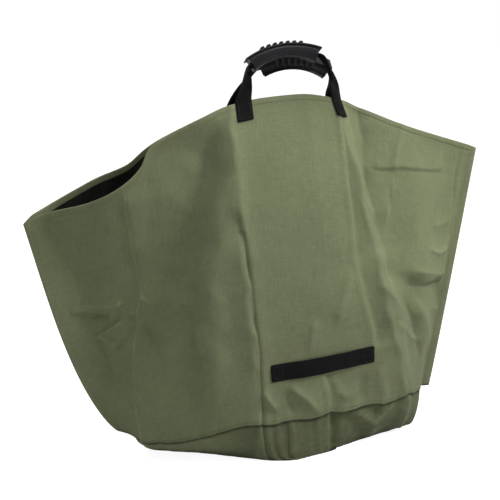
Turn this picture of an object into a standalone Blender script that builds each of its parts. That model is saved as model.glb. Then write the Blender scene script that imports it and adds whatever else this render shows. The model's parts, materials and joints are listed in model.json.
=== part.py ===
"""A canvas leaf bag: two walls, a base panel, two webbing handles with moulded grips and a pull strap.

The bag stands on its base panel. X runs along the mouth, the front wall faces -Y, and Z is up.
"""

import math

import bmesh
import bpy
from mathutils import Matrix, Vector

# All sizes are in millimetres, and MM turns them into metres
MM = 0.001

# Overall sizes
BAG_LENGTH = 795.0
RIM_HEIGHT = 606.0
BASE_DEPTH = 244.0

# Cloth and seams
CLOTH_THICKNESS = 1.5
CONTACT_GAP = 0.3
SEAM_ALLOWANCE = 14.0
HEM_DEPTH = 8.0
BASE_LAP = 9.0
LAP_GAP = 0.4
SEAM_INSET = 5.0
THREAD_RADIUS = 0.6

# Webbing and its sewn tabs
WEBBING_WIDTH = 30.0
WEBBING_THICKNESS = 2.0
TAB_LENGTH = 33.0
TAB_RISE = 2.0
TAB_STITCH_INSET = 4.5
FOOT_GAP = 0.5
FRONT_TAB_SHARES = (-0.0455, 0.163)
BACK_TAB_SHARES = (-0.036, 0.184)

# Handle loops, measured from the hinge line; webbing bends round a small radius, so that line
# stands a little outside the webbing
HINGE_STANDOFF = 4.0
GRIP_LENGTH = 112.0
GRIP_RISE = 13.0

# How far the webbing keeps its direction above a tab and beside the grip, in shares of a leg
LEG_START_PULL = 0.30
LEG_END_PULL = 0.16

# How each handle stands in the photo: lean and roll inward, tilt up to the right, shift to the
# right, turn away from the bag at the left end
FRONT_POSE = {"height": 66.5, "lean": 6.0, "roll": 18.0, "tilt": 6.2, "shift": 0.8, "turn": -10.0}
BACK_POSE = {"height": 78.8, "lean": 24.0, "roll": 16.0, "tilt": -3.6, "shift": 23.9, "turn": -8.0}

# Moulded grip: a slotted bar with a thin plate on top, and ribs over the plate and down the inner side
GRIP_WALL = 2.5
GRIP_BODY_HEIGHT = 18.0
GRIP_FLARE = 5.0
PLATE_OVERHANG = 3.0
PLATE_THICKNESS = 3.0
PLATE_LIP = 1.0
RIB_COUNT = 7
RIB_PITCH = 9.7
RIB_THICKNESS = 6.2
RIB_HEIGHT = 5.0
RIB_DROP = 5.6
RIB_STAND = 1.5
RIB_BACK_SHARE = 0.55
RIB_CORNER = 5.0
RIB_STATIONS = ((-0.5, 0.93), (-0.3, 1.0), (0.3, 1.0), (0.5, 0.93))
GRIP_CORNER = 7.0
PLATE_CORNER = 1.2
SLOT_CORNER = 0.4

# Pull strap on the front wall
STRAP_LENGTH = 186.0
STRAP_CENTRE_SHARE = 0.104
STRAP_HEIGHT_SHARE = 0.268
STRAP_TILT = 4.6
STRAP_END = 24.0
STRAP_SLACK = 2.5

# Outlines of the mouth and of the seam between walls and base: share of length, share of rim height
FRONT_RIM = (
    (-0.500, 0.670), (-0.475, 0.698), (-0.377, 0.748), (-0.296, 0.800), (-0.265, 0.835),
    (-0.248, 0.878), (-0.216, 0.904), (-0.142, 0.949), (-0.082, 0.977), (0.000, 0.995),
    (0.082, 1.000), (0.151, 0.987), (0.224, 0.950), (0.317, 0.899), (0.500, 0.818),
)
BACK_RIM = (
    (-0.500, 0.670), (-0.475, 0.697), (-0.348, 0.759), (-0.266, 0.797), (-0.226, 0.840),
    (-0.193, 0.868), (-0.082, 0.932), (0.000, 0.952), (0.082, 0.959), (0.160, 0.948),
    (0.317, 0.861), (0.500, 0.818),
)
BASE_SEAM = (
    (-0.306, 0.060), (-0.226, 0.052), (-0.158, 0.074), (-0.045, 0.115), (0.100, 0.117),
    (0.260, 0.126), (0.402, 0.117),
)

# Columns across a wall, left to right: share of length at the rim, share of length at the seam
COLUMNS = (
    (-0.300, -0.255), (-0.142, -0.145), (-0.075, -0.045), (0.082, 0.090),
    (0.157, 0.318), (0.191, 0.342), (0.320, 0.368),
)
LEFT_EDGE = (-0.500, -0.306)
RIGHT_EDGE = (0.500, 0.402)
LEFT_EDGE_BOW = 0.033
RIGHT_EDGE_BOW = 0.002
EDGE_BOW_POWER = 0.6

# How far each column stands from the middle plane, in shares of half the base depth, seam to rim
FRONT_SWELL = (
    (0.41, 0.80, 0.98, 0.97, 0.50, 0.42, 0.26),
    (0.50, 0.68, 0.98, 1.00, 0.84, 0.68, 0.42),
    (0.56, 0.58, 0.78, 0.80, 0.66, 0.44, 0.28),
    (0.52, 0.46, 0.37, 0.29, 0.285, 0.085, 0.080),
)
BACK_SWELL = (
    (0.41, 0.80, 0.98, 0.97, 0.50, 0.42, 0.26),
    (0.55, 0.84, 0.98, 1.00, 0.80, 0.72, 0.50),
    (0.60, 0.74, 0.80, 0.80, 0.60, 0.52, 0.36),
    (0.52, 0.42, 0.33, 0.29, 0.26, 0.23, 0.15),
)

# Base panel rings below the seam: share of length, how far the ends narrow, share of seam height
BASE_RINGS = (
    (0.985, 0.15, 0.60), (0.945, 0.55, 0.22), (0.895, 0.94, 0.03), (0.845, 1.02, 0.0), (0.600, 1.10, 0.0),
)
BASE_CENTRE_SHARE = 0.190
BASE_TAPER_CENTRE = 0.035
BASE_TAPER_REACH = (0.30, 0.36)

# How finely the cloth is divided
COLUMN_STEPS = (1, 6, 5, 3, 5, 6, 2, 5, 5, 1)
WALL_ROWS = 9
EDGE_CLEARANCE = 6.0

# How finely the handles are divided
GRIP_CORNER_STEPS = 3
GRIP_STEPS = 14
LEG_STEPS = 12
WEBBING_COLUMNS = 5

# Colour and roughness of each finish
FINISHES = {
    "canvas": ((0.155, 0.180, 0.098, 1.0), 0.85),
    "webbing": ((0.012, 0.012, 0.013, 1.0), 0.80),
    "grip": ((0.030, 0.029, 0.033, 1.0), 0.45),
    "olive thread": ((0.120, 0.140, 0.075, 1.0), 0.70),
    "black thread": ((0.020, 0.020, 0.021, 1.0), 0.70),
}

SPACING = CLOTH_THICKNESS / 2 + CONTACT_GAP
EDGE_SWELL = (CLOTH_THICKNESS + CONTACT_GAP) / 2


# Smooth curves through a few points

def slopes_through(points):
    """Slopes of a curve through points that never swings past them."""
    steps = []
    for (x0, y0), (x1, y1) in zip(points, points[1:]):
        steps.append((y1 - y0) / (x1 - x0))
    slopes = [steps[0]]
    for before, after in zip(steps, steps[1:]):
        if before * after <= 0.0:
            slopes.append(0.0)
        else:
            slopes.append(2.0 * before * after / (before + after))
    slopes.append(steps[-1])
    return slopes


def curve_value(points, x):
    """Height at x of the smooth curve through points."""
    slopes = slopes_through(points)
    if x <= points[0][0]:
        return points[0][1] + slopes[0] * (x - points[0][0])
    if x >= points[-1][0]:
        return points[-1][1] + slopes[-1] * (x - points[-1][0])
    for i in range(len(points) - 1):
        (x0, y0), (x1, y1) = points[i], points[i + 1]
        if x <= x1:
            width = x1 - x0
            t = (x - x0) / width
            rise = y0 * (1 + 2 * t) * (1 - t) ** 2 + y1 * t * t * (3 - 2 * t)
            lean = width * (slopes[i] * t * (1 - t) ** 2 - slopes[i + 1] * t * t * (1 - t))
            return rise + lean
    return points[-1][1]


# The two walls as smooth surfaces: a runs from 0 at the left edge to 1 at the right, h from seam to rim

def column_places():
    """Where each column lies between the left edge and the right edge."""
    inset = SEAM_ALLOWANCE / BAG_LENGTH
    inner = [rim - LEFT_EDGE[0] for rim, seam in COLUMNS]
    return [0.0, inset] + inner + [1.0 - inset, 1.0]


def across(a, level):
    """Share of length at place a, at the rim (level 0) or at the seam (level 1)."""
    inset = SEAM_ALLOWANCE / BAG_LENGTH
    shares = [LEFT_EDGE[level], LEFT_EDGE[level] + inset]
    shares += [column[level] for column in COLUMNS]
    shares += [RIGHT_EDGE[level] - inset, RIGHT_EDGE[level]]
    return curve_value(list(zip(column_places(), shares)), a)


def swell(table, a, h):
    """Distance of the wall from the middle plane."""
    half = BASE_DEPTH / 2
    rows = []
    for row in table:
        values = [EDGE_SWELL, EDGE_SWELL] + [share * half for share in row] + [EDGE_SWELL, EDGE_SWELL]
        rows.append(curve_value(list(zip(column_places(), values)), a))
    levels = [i / (len(rows) - 1) for i in range(len(rows))]
    return curve_value(list(zip(levels, rows)), h)


def wall_point(side, a, h):
    """Middle of the cloth: side is -1 for the front wall and 1 for the back wall."""
    rim, table = (FRONT_RIM, FRONT_SWELL) if side < 0 else (BACK_RIM, BACK_SWELL)
    rim_share = across(a, 0)
    seam_share = across(a, 1)
    bow = math.sin(math.pi * min(max(h, 0.0), 1.0) ** EDGE_BOW_POWER)
    edge_bow = RIGHT_EDGE_BOW * a ** 4 - LEFT_EDGE_BOW * (1 - a) ** 4
    x = BAG_LENGTH * (seam_share + (rim_share - seam_share) * h + edge_bow * bow)
    low = RIM_HEIGHT * curve_value(BASE_SEAM, seam_share)
    high = RIM_HEIGHT * curve_value(rim, rim_share)
    return Vector((x, side * swell(table, a, h), low + (high - low) * h))


def wall_frame(side, a, h):
    """Point on the wall with its outward normal."""
    step = 0.002
    run = wall_point(side, a + step, h) - wall_point(side, a - step, h)
    rise = wall_point(side, a, h + step) - wall_point(side, a, h - step)
    normal = run.cross(rise).normalized()
    if normal.y * side < 0.0:
        normal = -normal
    return wall_point(side, a, h), normal


def wall_place(side, x, z):
    """The place (a, h) on the wall that lies at x and z."""
    a, h = 0.5, 0.5
    step = 0.001
    longest = 0.04
    for _ in range(40):
        point = wall_point(side, a, h)
        run = (wall_point(side, a + step, h) - point) / step
        rise = (wall_point(side, a, h + step) - point) / step
        size = run.x * rise.z - run.z * rise.x
        off_x, off_z = x - point.x, z - point.z
        move_a = (off_x * rise.z - off_z * rise.x) / size
        move_h = (off_z * run.x - off_x * run.z) / size
        a += min(max(move_a, -longest), longest)
        h += min(max(move_h, -longest), longest)
    return a, h


def on_wall(side, x, z, lift):
    """Point standing lift outside the wall's middle surface, at x and z."""
    a, h = wall_place(side, x, z)
    point, normal = wall_frame(side, a, h)
    return point + normal * lift


# Turning rows of points into solids

def material(name, kind):
    colour, roughness = FINISHES[kind]
    made = bpy.data.materials.new(name)
    made.use_nodes = True
    shader = made.node_tree.nodes["Principled BSDF"]
    shader.inputs["Base Color"].default_value = colour
    shader.inputs["Roughness"].default_value = roughness
    made.diffuse_color = colour
    return made


def add_object(name, mesh, kind, parent=None):
    for polygon in mesh.polygons:
        polygon.use_smooth = True
    made = bpy.data.objects.new(name, mesh)
    made.data.materials.append(material(name + "_material", kind))
    COLLECTION.objects.link(made)
    if parent is not None:
        made.parent = parent
    return made


def grid_mesh(name, rows, closed=False, cap=False):
    """Mesh through rows of points; closed joins each row's ends, cap fills the last row."""
    mesh = bpy.data.meshes.new(name)
    work = bmesh.new()
    verts = [[work.verts.new(point * MM) for point in row] for row in rows]
    count = len(rows[0])
    spans = count if closed else count - 1
    for lower, upper in zip(verts, verts[1:]):
        for i in range(spans):
            j = (i + 1) % count
            work.faces.new((lower[i], lower[j], upper[j], upper[i]))
    if cap:
        work.faces.new(verts[-1])
    bmesh.ops.recalc_face_normals(work, faces=work.faces)
    work.to_mesh(mesh)
    work.free()
    return mesh


def sheet_solid(name, rows, thickness, kind, parent=None, closed=False, cap=False, even=True):
    """A sheet of cloth or webbing with its middle surface through rows of points."""
    made = add_object(name, grid_mesh(name, rows, closed, cap), kind, parent)
    shell = made.modifiers.new("thickness", "SOLIDIFY")
    shell.thickness = thickness * MM
    shell.offset = 0.0
    shell.use_even_offset = even
    return made


def thread(name, points, closed, kind):
    """A sewn thread lying along points."""
    curve = bpy.data.curves.new(name, "CURVE")
    curve.dimensions = "3D"
    curve.bevel_depth = THREAD_RADIUS * MM
    curve.bevel_resolution = 0
    curve.use_fill_caps = True
    line = curve.splines.new("POLY")
    line.points.add(len(points) - 1)
    for slot, point in zip(line.points, points):
        slot.co = (*(point * MM), 1.0)
    line.use_cyclic_u = closed
    made = bpy.data.objects.new(name, curve)
    curve.materials.append(material(name + "_material", kind))
    COLLECTION.objects.link(made)
    made.modifiers.new("caps", "WELD").merge_threshold = 0.0001


# Canvas

def wall_columns(side):
    """Places across the wall where its rows have a point; the tabs' own places are among them."""
    places = column_places()
    tabs = []
    for share in FRONT_TAB_SHARES if side < 0 else BACK_TAB_SHARES:
        tabs.append(tab_places(side, share, WEBBING_WIDTH / 2))
    spans = [(min(tab), max(tab)) for tab in tabs]
    chosen = tabs[0] + tabs[1]
    margin = 0.25 * WEBBING_WIDTH / BAG_LENGTH
    for (start, end), steps in zip(zip(places, places[1:]), COLUMN_STEPS):
        for i in range(steps):
            a = start + (end - start) * i / steps
            if all(not low - margin < a < high + margin for low, high in spans):
                chosen.append(a)
    return sorted(chosen + [1.0])


def wall_rows():
    """Heights where the wall has a row, with one wherever another piece ends or lies along it."""
    near_seam = [0.0, SEAM_INSET / RIM_HEIGHT, BASE_LAP / RIM_HEIGHT]
    near_rim = [1.0 - TAB_LENGTH / RIM_HEIGHT, 1.0 - HEM_DEPTH / RIM_HEIGHT, 1.0]
    middle = STRAP_HEIGHT_SHARE - BASE_SEAM[4][1]
    reach = WEBBING_WIDTH / RIM_HEIGHT
    near_strap = [middle + reach * i / 2 for i in range(-1, 3)]
    steps = [i / WALL_ROWS for i in range(1, WALL_ROWS)]
    spread = [h for h in steps if not near_strap[0] - reach / 2 < h < near_strap[-1] + reach / 2]
    return sorted(near_seam + near_strap + spread + near_rim)


def add_wall(name, side):
    rows = [[wall_point(side, a, h) for a in wall_columns(side)] for h in wall_rows()]
    sheet_solid(name, rows, CLOTH_THICKNESS, "canvas")


def base_limits():
    """Left and right ends of the base panel: where the sewn walls leave room for its turned end."""
    needed = CLOTH_THICKNESS + CONTACT_GAP + EDGE_CLEARANCE
    a = column_places()[1]
    while swell(FRONT_SWELL, a, 0.0) < needed:
        a += 0.002
    b = column_places()[-2]
    while swell(FRONT_SWELL, b, 0.0) < needed:
        b -= 0.002
    return a, b


def base_ring(height):
    """Closed row just inside both walls, at a height above their lower edges."""
    start, end = base_limits()
    inward = -(CLOTH_THICKNESS + LAP_GAP)
    ring = []
    for side in (-1, 1):
        inner = [a for a in wall_columns(-1) if start + 0.01 < a < end - 0.01]
        places = [start] + inner + [end]
        for a in places if side < 0 else places[::-1]:
            point, normal = wall_frame(side, a, height / RIM_HEIGHT)
            ring.append(point + normal * inward)
    return ring


def add_base():
    lap = base_ring(BASE_LAP)
    seam = base_ring(0.0)
    centre = BASE_CENTRE_SHARE * BAG_LENGTH
    rows = [lap, seam]
    for long_share, narrowing, height_share in BASE_RINGS:
        ring = []
        for point in seam:
            x = centre + (point.x - centre) * long_share
            off = x / BAG_LENGTH - BASE_TAPER_CENTRE
            reach = BASE_TAPER_REACH[0] if off < 0.0 else BASE_TAPER_REACH[1]
            taper = 1.0 - narrowing * min(0.85, (abs(off) / reach) ** 1.4)
            ring.append(Vector((x, point.y * taper, point.z * height_share)))
        rows.append(ring)
    sheet_solid("base_panel", rows, CLOTH_THICKNESS, "canvas", closed=True, cap=True, even=False)


# Stitching of the canvas

def wall_thread(name, side, places, lift):
    """Thread along places on a wall; a negative lift puts it on the inner face."""
    points = []
    for a, h in places:
        point, normal = wall_frame(side, a, h)
        points.append(point + normal * lift)
    thread(name, points, False, "olive thread")


def add_canvas_stitching():
    outside = SPACING + THREAD_RADIUS
    for name, side in (("front", -1), ("back", 1)):
        columns = [a for a in wall_columns(side) if 0.05 < a < 0.95]
        hem = [(a, 1.0 - HEM_DEPTH / RIM_HEIGHT) for a in columns]
        wall_thread(name + "_hem_stitching", side, hem, -outside)
        seam = [(a, SEAM_INSET / RIM_HEIGHT) for a in columns]
        wall_thread(name + "_base_stitching", side, seam, outside)
    inset = 0.7 * SEAM_ALLOWANCE / BAG_LENGTH
    heights = [0.03 + 0.94 * i / 12 for i in range(13)]
    wall_thread("left_side_stitching", -1, [(inset, h) for h in heights], outside)
    wall_thread("right_side_stitching", -1, [(1.0 - inset, h) for h in heights], outside)


# Webbing tabs and their stitching

def tab_places(side, share, half_width):
    """Places on the wall across a tab."""
    a_mid = share - LEFT_EDGE[0]
    step = 0.002
    run = wall_point(side, a_mid + step, 1.0) - wall_point(side, a_mid - step, 1.0)
    reach = half_width * 2 * step / run.length
    last = WEBBING_COLUMNS - 1
    return [a_mid + reach * (2 * i / last - 1) for i in range(WEBBING_COLUMNS)]


def tab_row(side, share, drop, lift, half_width=WEBBING_WIDTH / 2):
    """Points across a tab, drop below the rim; a negative drop stands above it."""
    places = tab_places(side, share, half_width)
    middle = places[WEBBING_COLUMNS // 2]
    step = 0.002
    row = []
    for a in places:
        h = 1.0 - max(drop, 0.0) / RIM_HEIGHT
        point, normal = wall_frame(side, a, h)
        if drop < 0.0:
            rise = wall_point(side, middle, 1.0) - wall_point(side, middle, 1.0 - step)
            point = point - rise.normalized() * drop
        row.append(point + normal * lift)
    return row


def add_tab(name, side, share):
    lift = SPACING + WEBBING_THICKNESS / 2
    drops = [-TAB_RISE, 0.0] + [TAB_LENGTH * i / 4 for i in range(1, 5)]
    rows = [tab_row(side, share, drop, lift) for drop in drops]
    sheet_solid(name, rows, WEBBING_THICKNESS, "webbing")
    add_box_stitch(name + "_stitching", side, share, lift)


def add_box_stitch(name, side, share, lift):
    """Square of stitching on a tab."""
    face = lift + WEBBING_THICKNESS / 2 + CONTACT_GAP + THREAD_RADIUS
    half = WEBBING_WIDTH / 2 - TAB_STITCH_INSET
    low, high = TAB_LENGTH - TAB_STITCH_INSET, TAB_STITCH_INSET
    middle = (low + high) / 2
    top = tab_row(side, share, high, face, half)
    side_row = tab_row(side, share, middle, face, half)
    bottom = tab_row(side, share, low, face, half)
    points = top + [side_row[-1]] + bottom[::-1] + [side_row[0]]
    thread(name, points, True, "black thread")


# Handles

def hinge(name, side, shares):
    """Empty on the hinge line: its X axis runs along the line, past the outermost faces of both tabs."""
    lift = SPACING + WEBBING_THICKNESS
    ends = []
    for share in shares:
        row = tab_row(side, share, -TAB_RISE - FOOT_GAP / 2, lift)
        ends.append(max(row, key=lambda point: point.y * side))
    left, right = ends
    along = (right - left).normalized()
    depth = Vector((0.0, 0.0, 1.0)).cross(along).normalized()
    up = along.cross(depth)
    made = bpy.data.objects.new(name, None)
    made.empty_display_size = 0.02
    COLLECTION.objects.link(made)
    middle = (left + right) / 2 + depth * side * HINGE_STANDOFF
    turn = Matrix((along, depth, up)).transposed()
    made.matrix_world = Matrix.Translation(middle * MM) @ turn.to_4x4()
    return made, middle, turn


def grip_place(pose, share, side):
    """Middle of the webbing in the grip at a share of its length from the middle, with its frame."""
    radius = ((GRIP_LENGTH / 2) ** 2 + GRIP_RISE ** 2) / (2 * GRIP_RISE)
    angle = math.asin(share * GRIP_LENGTH / 2 / radius)
    local = Vector((radius * math.sin(angle), 0.0, radius * (math.cos(angle) - 1)))
    outward = Vector((math.sin(angle), 0.0, math.cos(angle)))
    width = Vector((0.0, 1.0, 0.0))
    tilt = Matrix.Rotation(-math.radians(pose["tilt"]), 3, "Y")
    turned = Matrix.Rotation(math.radians(pose["turn"]), 3, "Z") @ tilt
    rolled = turned @ Matrix.Rotation(math.radians(pose["roll"]) * side, 3, "X")
    leaned = Matrix.Rotation(math.radians(pose["lean"]) * side, 3, "X")
    stand = leaned @ Vector((pose["shift"], 0.0, pose["height"] + GRIP_RISE))
    return stand + rolled @ local, rolled @ outward, rolled @ width


def blended(first, second, share):
    """Direction between two directions."""
    ease = share * share * (3 - 2 * share)
    return (first * (1 - ease) + second * ease).normalized()


def leg_rows(foot, grip_end, tangent_down):
    """Rows of webbing from a tab's top up to the grip's end."""
    centre = sum(foot, Vector()) / len(foot)
    width = (foot[-1] - foot[0]).normalized()
    place, grip_width = grip_end
    if width.dot(grip_width) < 0.0:
        grip_width = -grip_width
    reach = (place - centre).length
    straight = (place - centre) / reach
    start_pull = centre + (Vector((0.0, 0.0, 0.5)) + straight * 0.5) * LEG_START_PULL * reach
    end_pull = place + tangent_down * LEG_END_PULL * reach
    rows = []
    for i in range(LEG_STEPS):
        t = i / LEG_STEPS
        middle = (
            centre * (1 - t) ** 3 + start_pull * 3 * t * (1 - t) ** 2
            + end_pull * 3 * t * t * (1 - t) + place * t ** 3
        )
        across_here = blended(width, grip_width, t)
        keep = max(0.0, 1.0 - 4 * t)
        row = []
        for j, point in enumerate(foot):
            flat = across_here * WEBBING_WIDTH * (j / (len(foot) - 1) - 0.5)
            row.append(middle + (point - centre) * keep + flat * (1 - keep))
        rows.append(row)
    return rows


def facing(rows, width):
    """The rows, all turned round where the last one runs against width."""
    if (rows[-1][-1] - rows[-1][0]).dot(width) > 0.0:
        return rows
    return [row[::-1] for row in rows]


def add_handle(name, side, shares, pose):
    pivot, middle, turn = hinge(name + "_hinge", side, shares)
    to_local = turn.transposed()
    lift = SPACING + WEBBING_THICKNESS / 2
    legs = []
    for end, share in zip((-1.0, 1.0), shares):
        row = tab_row(side, share, -TAB_RISE - FOOT_GAP, lift)
        foot = [to_local @ (point - middle) for point in row]
        place, outward, width = grip_place(pose, end, side)
        inside = grip_place(pose, 0.9 * end, side)[0]
        legs.append(leg_rows(foot, (place, width), (place - inside).normalized()))
    inner = []
    for i in range(GRIP_STEPS + 1):
        place, outward, width = grip_place(pose, 2 * i / GRIP_STEPS - 1, side)
        last = WEBBING_COLUMNS - 1
        inner.append([place + width * WEBBING_WIDTH * (j / last - 0.5) for j in range(WEBBING_COLUMNS)])
    left, right = (facing(leg, width) for leg in legs)
    sheet_solid(name + "_webbing", left + inner + right[::-1], WEBBING_THICKNESS, "webbing", pivot)
    add_grip(name.split("_")[0] + "_grip", side, pose, pivot)


def rounded_section(left, right, low, high, corner):
    """Closed outline of a rounded bar: pairs of (across, outward)."""
    outline = []
    corners = ((right - corner, high - corner), (left + corner, high - corner),
               (left + corner, low + corner), (right - corner, low + corner))
    for number, (across_here, up_here) in enumerate(corners):
        for i in range(GRIP_CORNER_STEPS + 1):
            angle = math.radians(90 * number + 90 * i / GRIP_CORNER_STEPS)
            outline.append((across_here + corner * math.cos(angle), up_here + corner * math.sin(angle)))
    return outline


def swept_mesh(name, stations, sections):
    """Solid bar through stations (place, outward, width), each with its own closed section."""
    mesh = bpy.data.meshes.new(name)
    work = bmesh.new()
    rings = []
    for (place, outward, width), section in zip(stations, sections):
        rings.append([work.verts.new((place + width * y + outward * z) * MM) for y, z in section])
    for first, second in zip(rings, rings[1:]):
        for j in range(len(first)):
            k = (j + 1) % len(first)
            work.faces.new((first[j], first[k], second[k], second[j]))
    work.faces.new(rings[0])
    work.faces.new(rings[-1])
    bmesh.ops.recalc_face_normals(work, faces=work.faces)
    work.to_mesh(mesh)
    work.free()
    return mesh


def grip_bar(name, pose, side, length, half_width, low, high, corner, flare=0.0):
    """Arched bar along the grip; half_width is across the webbing, low and high are outward."""
    reach = length / GRIP_LENGTH
    stations = []
    sections = []
    for i in range(GRIP_STEPS + 1):
        share = reach * (2 * i / GRIP_STEPS - 1)
        deep = low - flare * share * share
        stations.append(grip_place(pose, share, side))
        sections.append(rounded_section(-half_width, half_width, deep, high, corner))
    return swept_mesh(name, stations, sections)


def grip_rib(pose, side, number, half_width):
    """A bar across the top and down the inner side of the grip."""
    share = RIB_PITCH * (number - (RIB_COUNT - 1) / 2) / (GRIP_LENGTH / 2)
    place, outward, width = grip_place(pose, share, side)
    along = width.cross(outward)
    inward = width * -side
    high = GRIP_BODY_HEIGHT / 2 - PLATE_LIP + PLATE_THICKNESS + RIB_HEIGHT
    low = RIB_DROP - GRIP_BODY_HEIGHT / 2
    section = rounded_section(-RIB_BACK_SHARE * half_width, half_width, low, high, RIB_CORNER)
    stations = []
    for offset, shrink in RIB_STATIONS:
        stations.append((place + along * RIB_THICKNESS * offset, outward * shrink, inward * shrink))
    return swept_mesh("grip rib", stations, [section] * len(stations))


def combine(target, label, mesh, operation):
    tool = bpy.data.objects.new(target.name + "_" + label, mesh)
    CUTTERS.objects.link(tool)
    tool.parent = target.parent
    tool.hide_render = True
    tool.display_type = "WIRE"
    modifier = target.modifiers.new(label, "BOOLEAN")
    modifier.operation = operation
    modifier.solver = "EXACT"
    modifier.object = tool


def add_grip(name, side, pose, parent):
    slot_half = WEBBING_WIDTH / 2 + CONTACT_GAP
    slot_up = WEBBING_THICKNESS / 2 + CONTACT_GAP
    half = slot_half + GRIP_WALL
    up = GRIP_BODY_HEIGHT / 2
    body = grip_bar("grip body", pose, side, GRIP_LENGTH, half, -up, up, GRIP_CORNER, GRIP_FLARE)
    made = add_object(name, body, "grip", parent)
    low = up - PLATE_LIP
    high = low + PLATE_THICKNESS
    long = GRIP_LENGTH + 2 * PLATE_OVERHANG
    plate = grip_bar("plate", pose, side, long, half + PLATE_LIP, low, high, PLATE_CORNER)
    combine(made, "plate", plate, "UNION")
    for number in range(RIB_COUNT):
        rib = grip_rib(pose, side, number, half + PLATE_LIP + RIB_STAND)
        combine(made, "rib_" + str(number + 1), rib, "UNION")
    slot = grip_bar("slot", pose, side, long, slot_half, -slot_up, slot_up, SLOT_CORNER)
    combine(made, "slot", slot, "DIFFERENCE")


# Pull strap on the front wall

def strap_row(distance, lift, half_width=WEBBING_WIDTH / 2):
    """Points up the strap's width, distance along it from its middle."""
    tilt = math.radians(STRAP_TILT)
    x = BAG_LENGTH * STRAP_CENTRE_SHARE + distance * math.cos(tilt)
    z = RIM_HEIGHT * STRAP_HEIGHT_SHARE + distance * math.sin(tilt)
    row = []
    for i in range(4):
        up = half_width * (2 * i / 3 - 1)
        row.append(on_wall(-1, x - up * math.sin(tilt), z + up * math.cos(tilt), lift))
    return row


def add_strap_part(name, start, end, steps, slack=0.0):
    lift = SPACING + WEBBING_THICKNESS / 2
    rows = []
    for i in range(steps + 1):
        ease = math.sin(math.pi * i / steps) ** 2
        rows.append(strap_row(start + (end - start) * i / steps, lift + slack * ease))
    sheet_solid(name, rows, WEBBING_THICKNESS, "webbing")


def add_pull_strap():
    half = STRAP_LENGTH / 2
    loose = half - STRAP_END
    add_strap_part("pull_strap_left_end", -half, -loose - CONTACT_GAP, 3)
    add_strap_part("pull_strap_middle", -loose, loose, 14, STRAP_SLACK)
    add_strap_part("pull_strap_right_end", loose + CONTACT_GAP, half, 3)
    face = SPACING + WEBBING_THICKNESS + CONTACT_GAP + THREAD_RADIUS
    rise = WEBBING_WIDTH / 2 - TAB_STITCH_INSET
    for label, sign in (("left", -1), ("right", 1)):
        near = sign * (loose + TAB_STITCH_INSET)
        far = sign * (half - TAB_STITCH_INSET)
        inner = strap_row(near, face, rise)
        middle = strap_row((near + far) / 2, face, rise)
        outer = strap_row(far, face, rise)
        points = inner + [middle[-1]] + outer[::-1] + [middle[0]]
        thread("pull_strap_" + label + "_stitching", points, True, "black thread")


# The whole bag

def add_walls():
    add_wall("front_wall", -1)
    add_wall("back_wall", 1)
    add_base()
    add_canvas_stitching()


def add_handles():
    for place, share in zip(("left", "right"), FRONT_TAB_SHARES):
        add_tab("front_" + place + "_tab", -1, share)
    for place, share in zip(("left", "right"), BACK_TAB_SHARES):
        add_tab("back_" + place + "_tab", 1, share)
    add_handle("front_handle", -1, FRONT_TAB_SHARES, FRONT_POSE)
    add_handle("back_handle", 1, BACK_TAB_SHARES, BACK_POSE)


def centre_on_origin():
    """Moves the whole bag so that its box stands centred on the origin with its underside at zero."""
    bpy.context.view_layer.update()
    graph = bpy.context.evaluated_depsgraph_get()
    corners = []
    for item in COLLECTION.objects:
        if item.type in ("MESH", "CURVE"):
            shown = item.evaluated_get(graph)
            mesh = shown.to_mesh()
            corners += [shown.matrix_world @ vert.co for vert in mesh.vertices]
            shown.to_mesh_clear()
    low = [min(corner[i] for corner in corners) for i in range(3)]
    high = [max(corner[i] for corner in corners) for i in range(3)]
    shift = Vector(((low[0] + high[0]) / 2, (low[1] + high[1]) / 2, low[2]))
    for item in COLLECTION.objects:
        if item.parent is None:
            item.location = item.location - shift


for old in list(bpy.data.objects):
    bpy.data.objects.remove(old, do_unlink=True)
COLLECTION = bpy.data.collections.new("leaf_bag")
bpy.context.scene.collection.children.link(COLLECTION)
CUTTERS = bpy.data.collections.new("construction")
bpy.context.scene.collection.children.link(CUTTERS)

add_walls()
add_handles()
add_pull_strap()
centre_on_origin()
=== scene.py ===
"""A canvas leaf bag: creased walls, puckered base, webbing handles with moulded grips, pull strap.

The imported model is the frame. Sizes are in millimetres in the frame's own axes: X runs along the mouth,
the front wall faces -Y and Z is up. MM turns them into metres where a mesh is made.
"""

import json
import math

import bpy
import numpy as np
from bpy.props import FloatProperty, FloatVectorProperty, IntProperty, PointerProperty
from mathutils import Matrix, Vector


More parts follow.
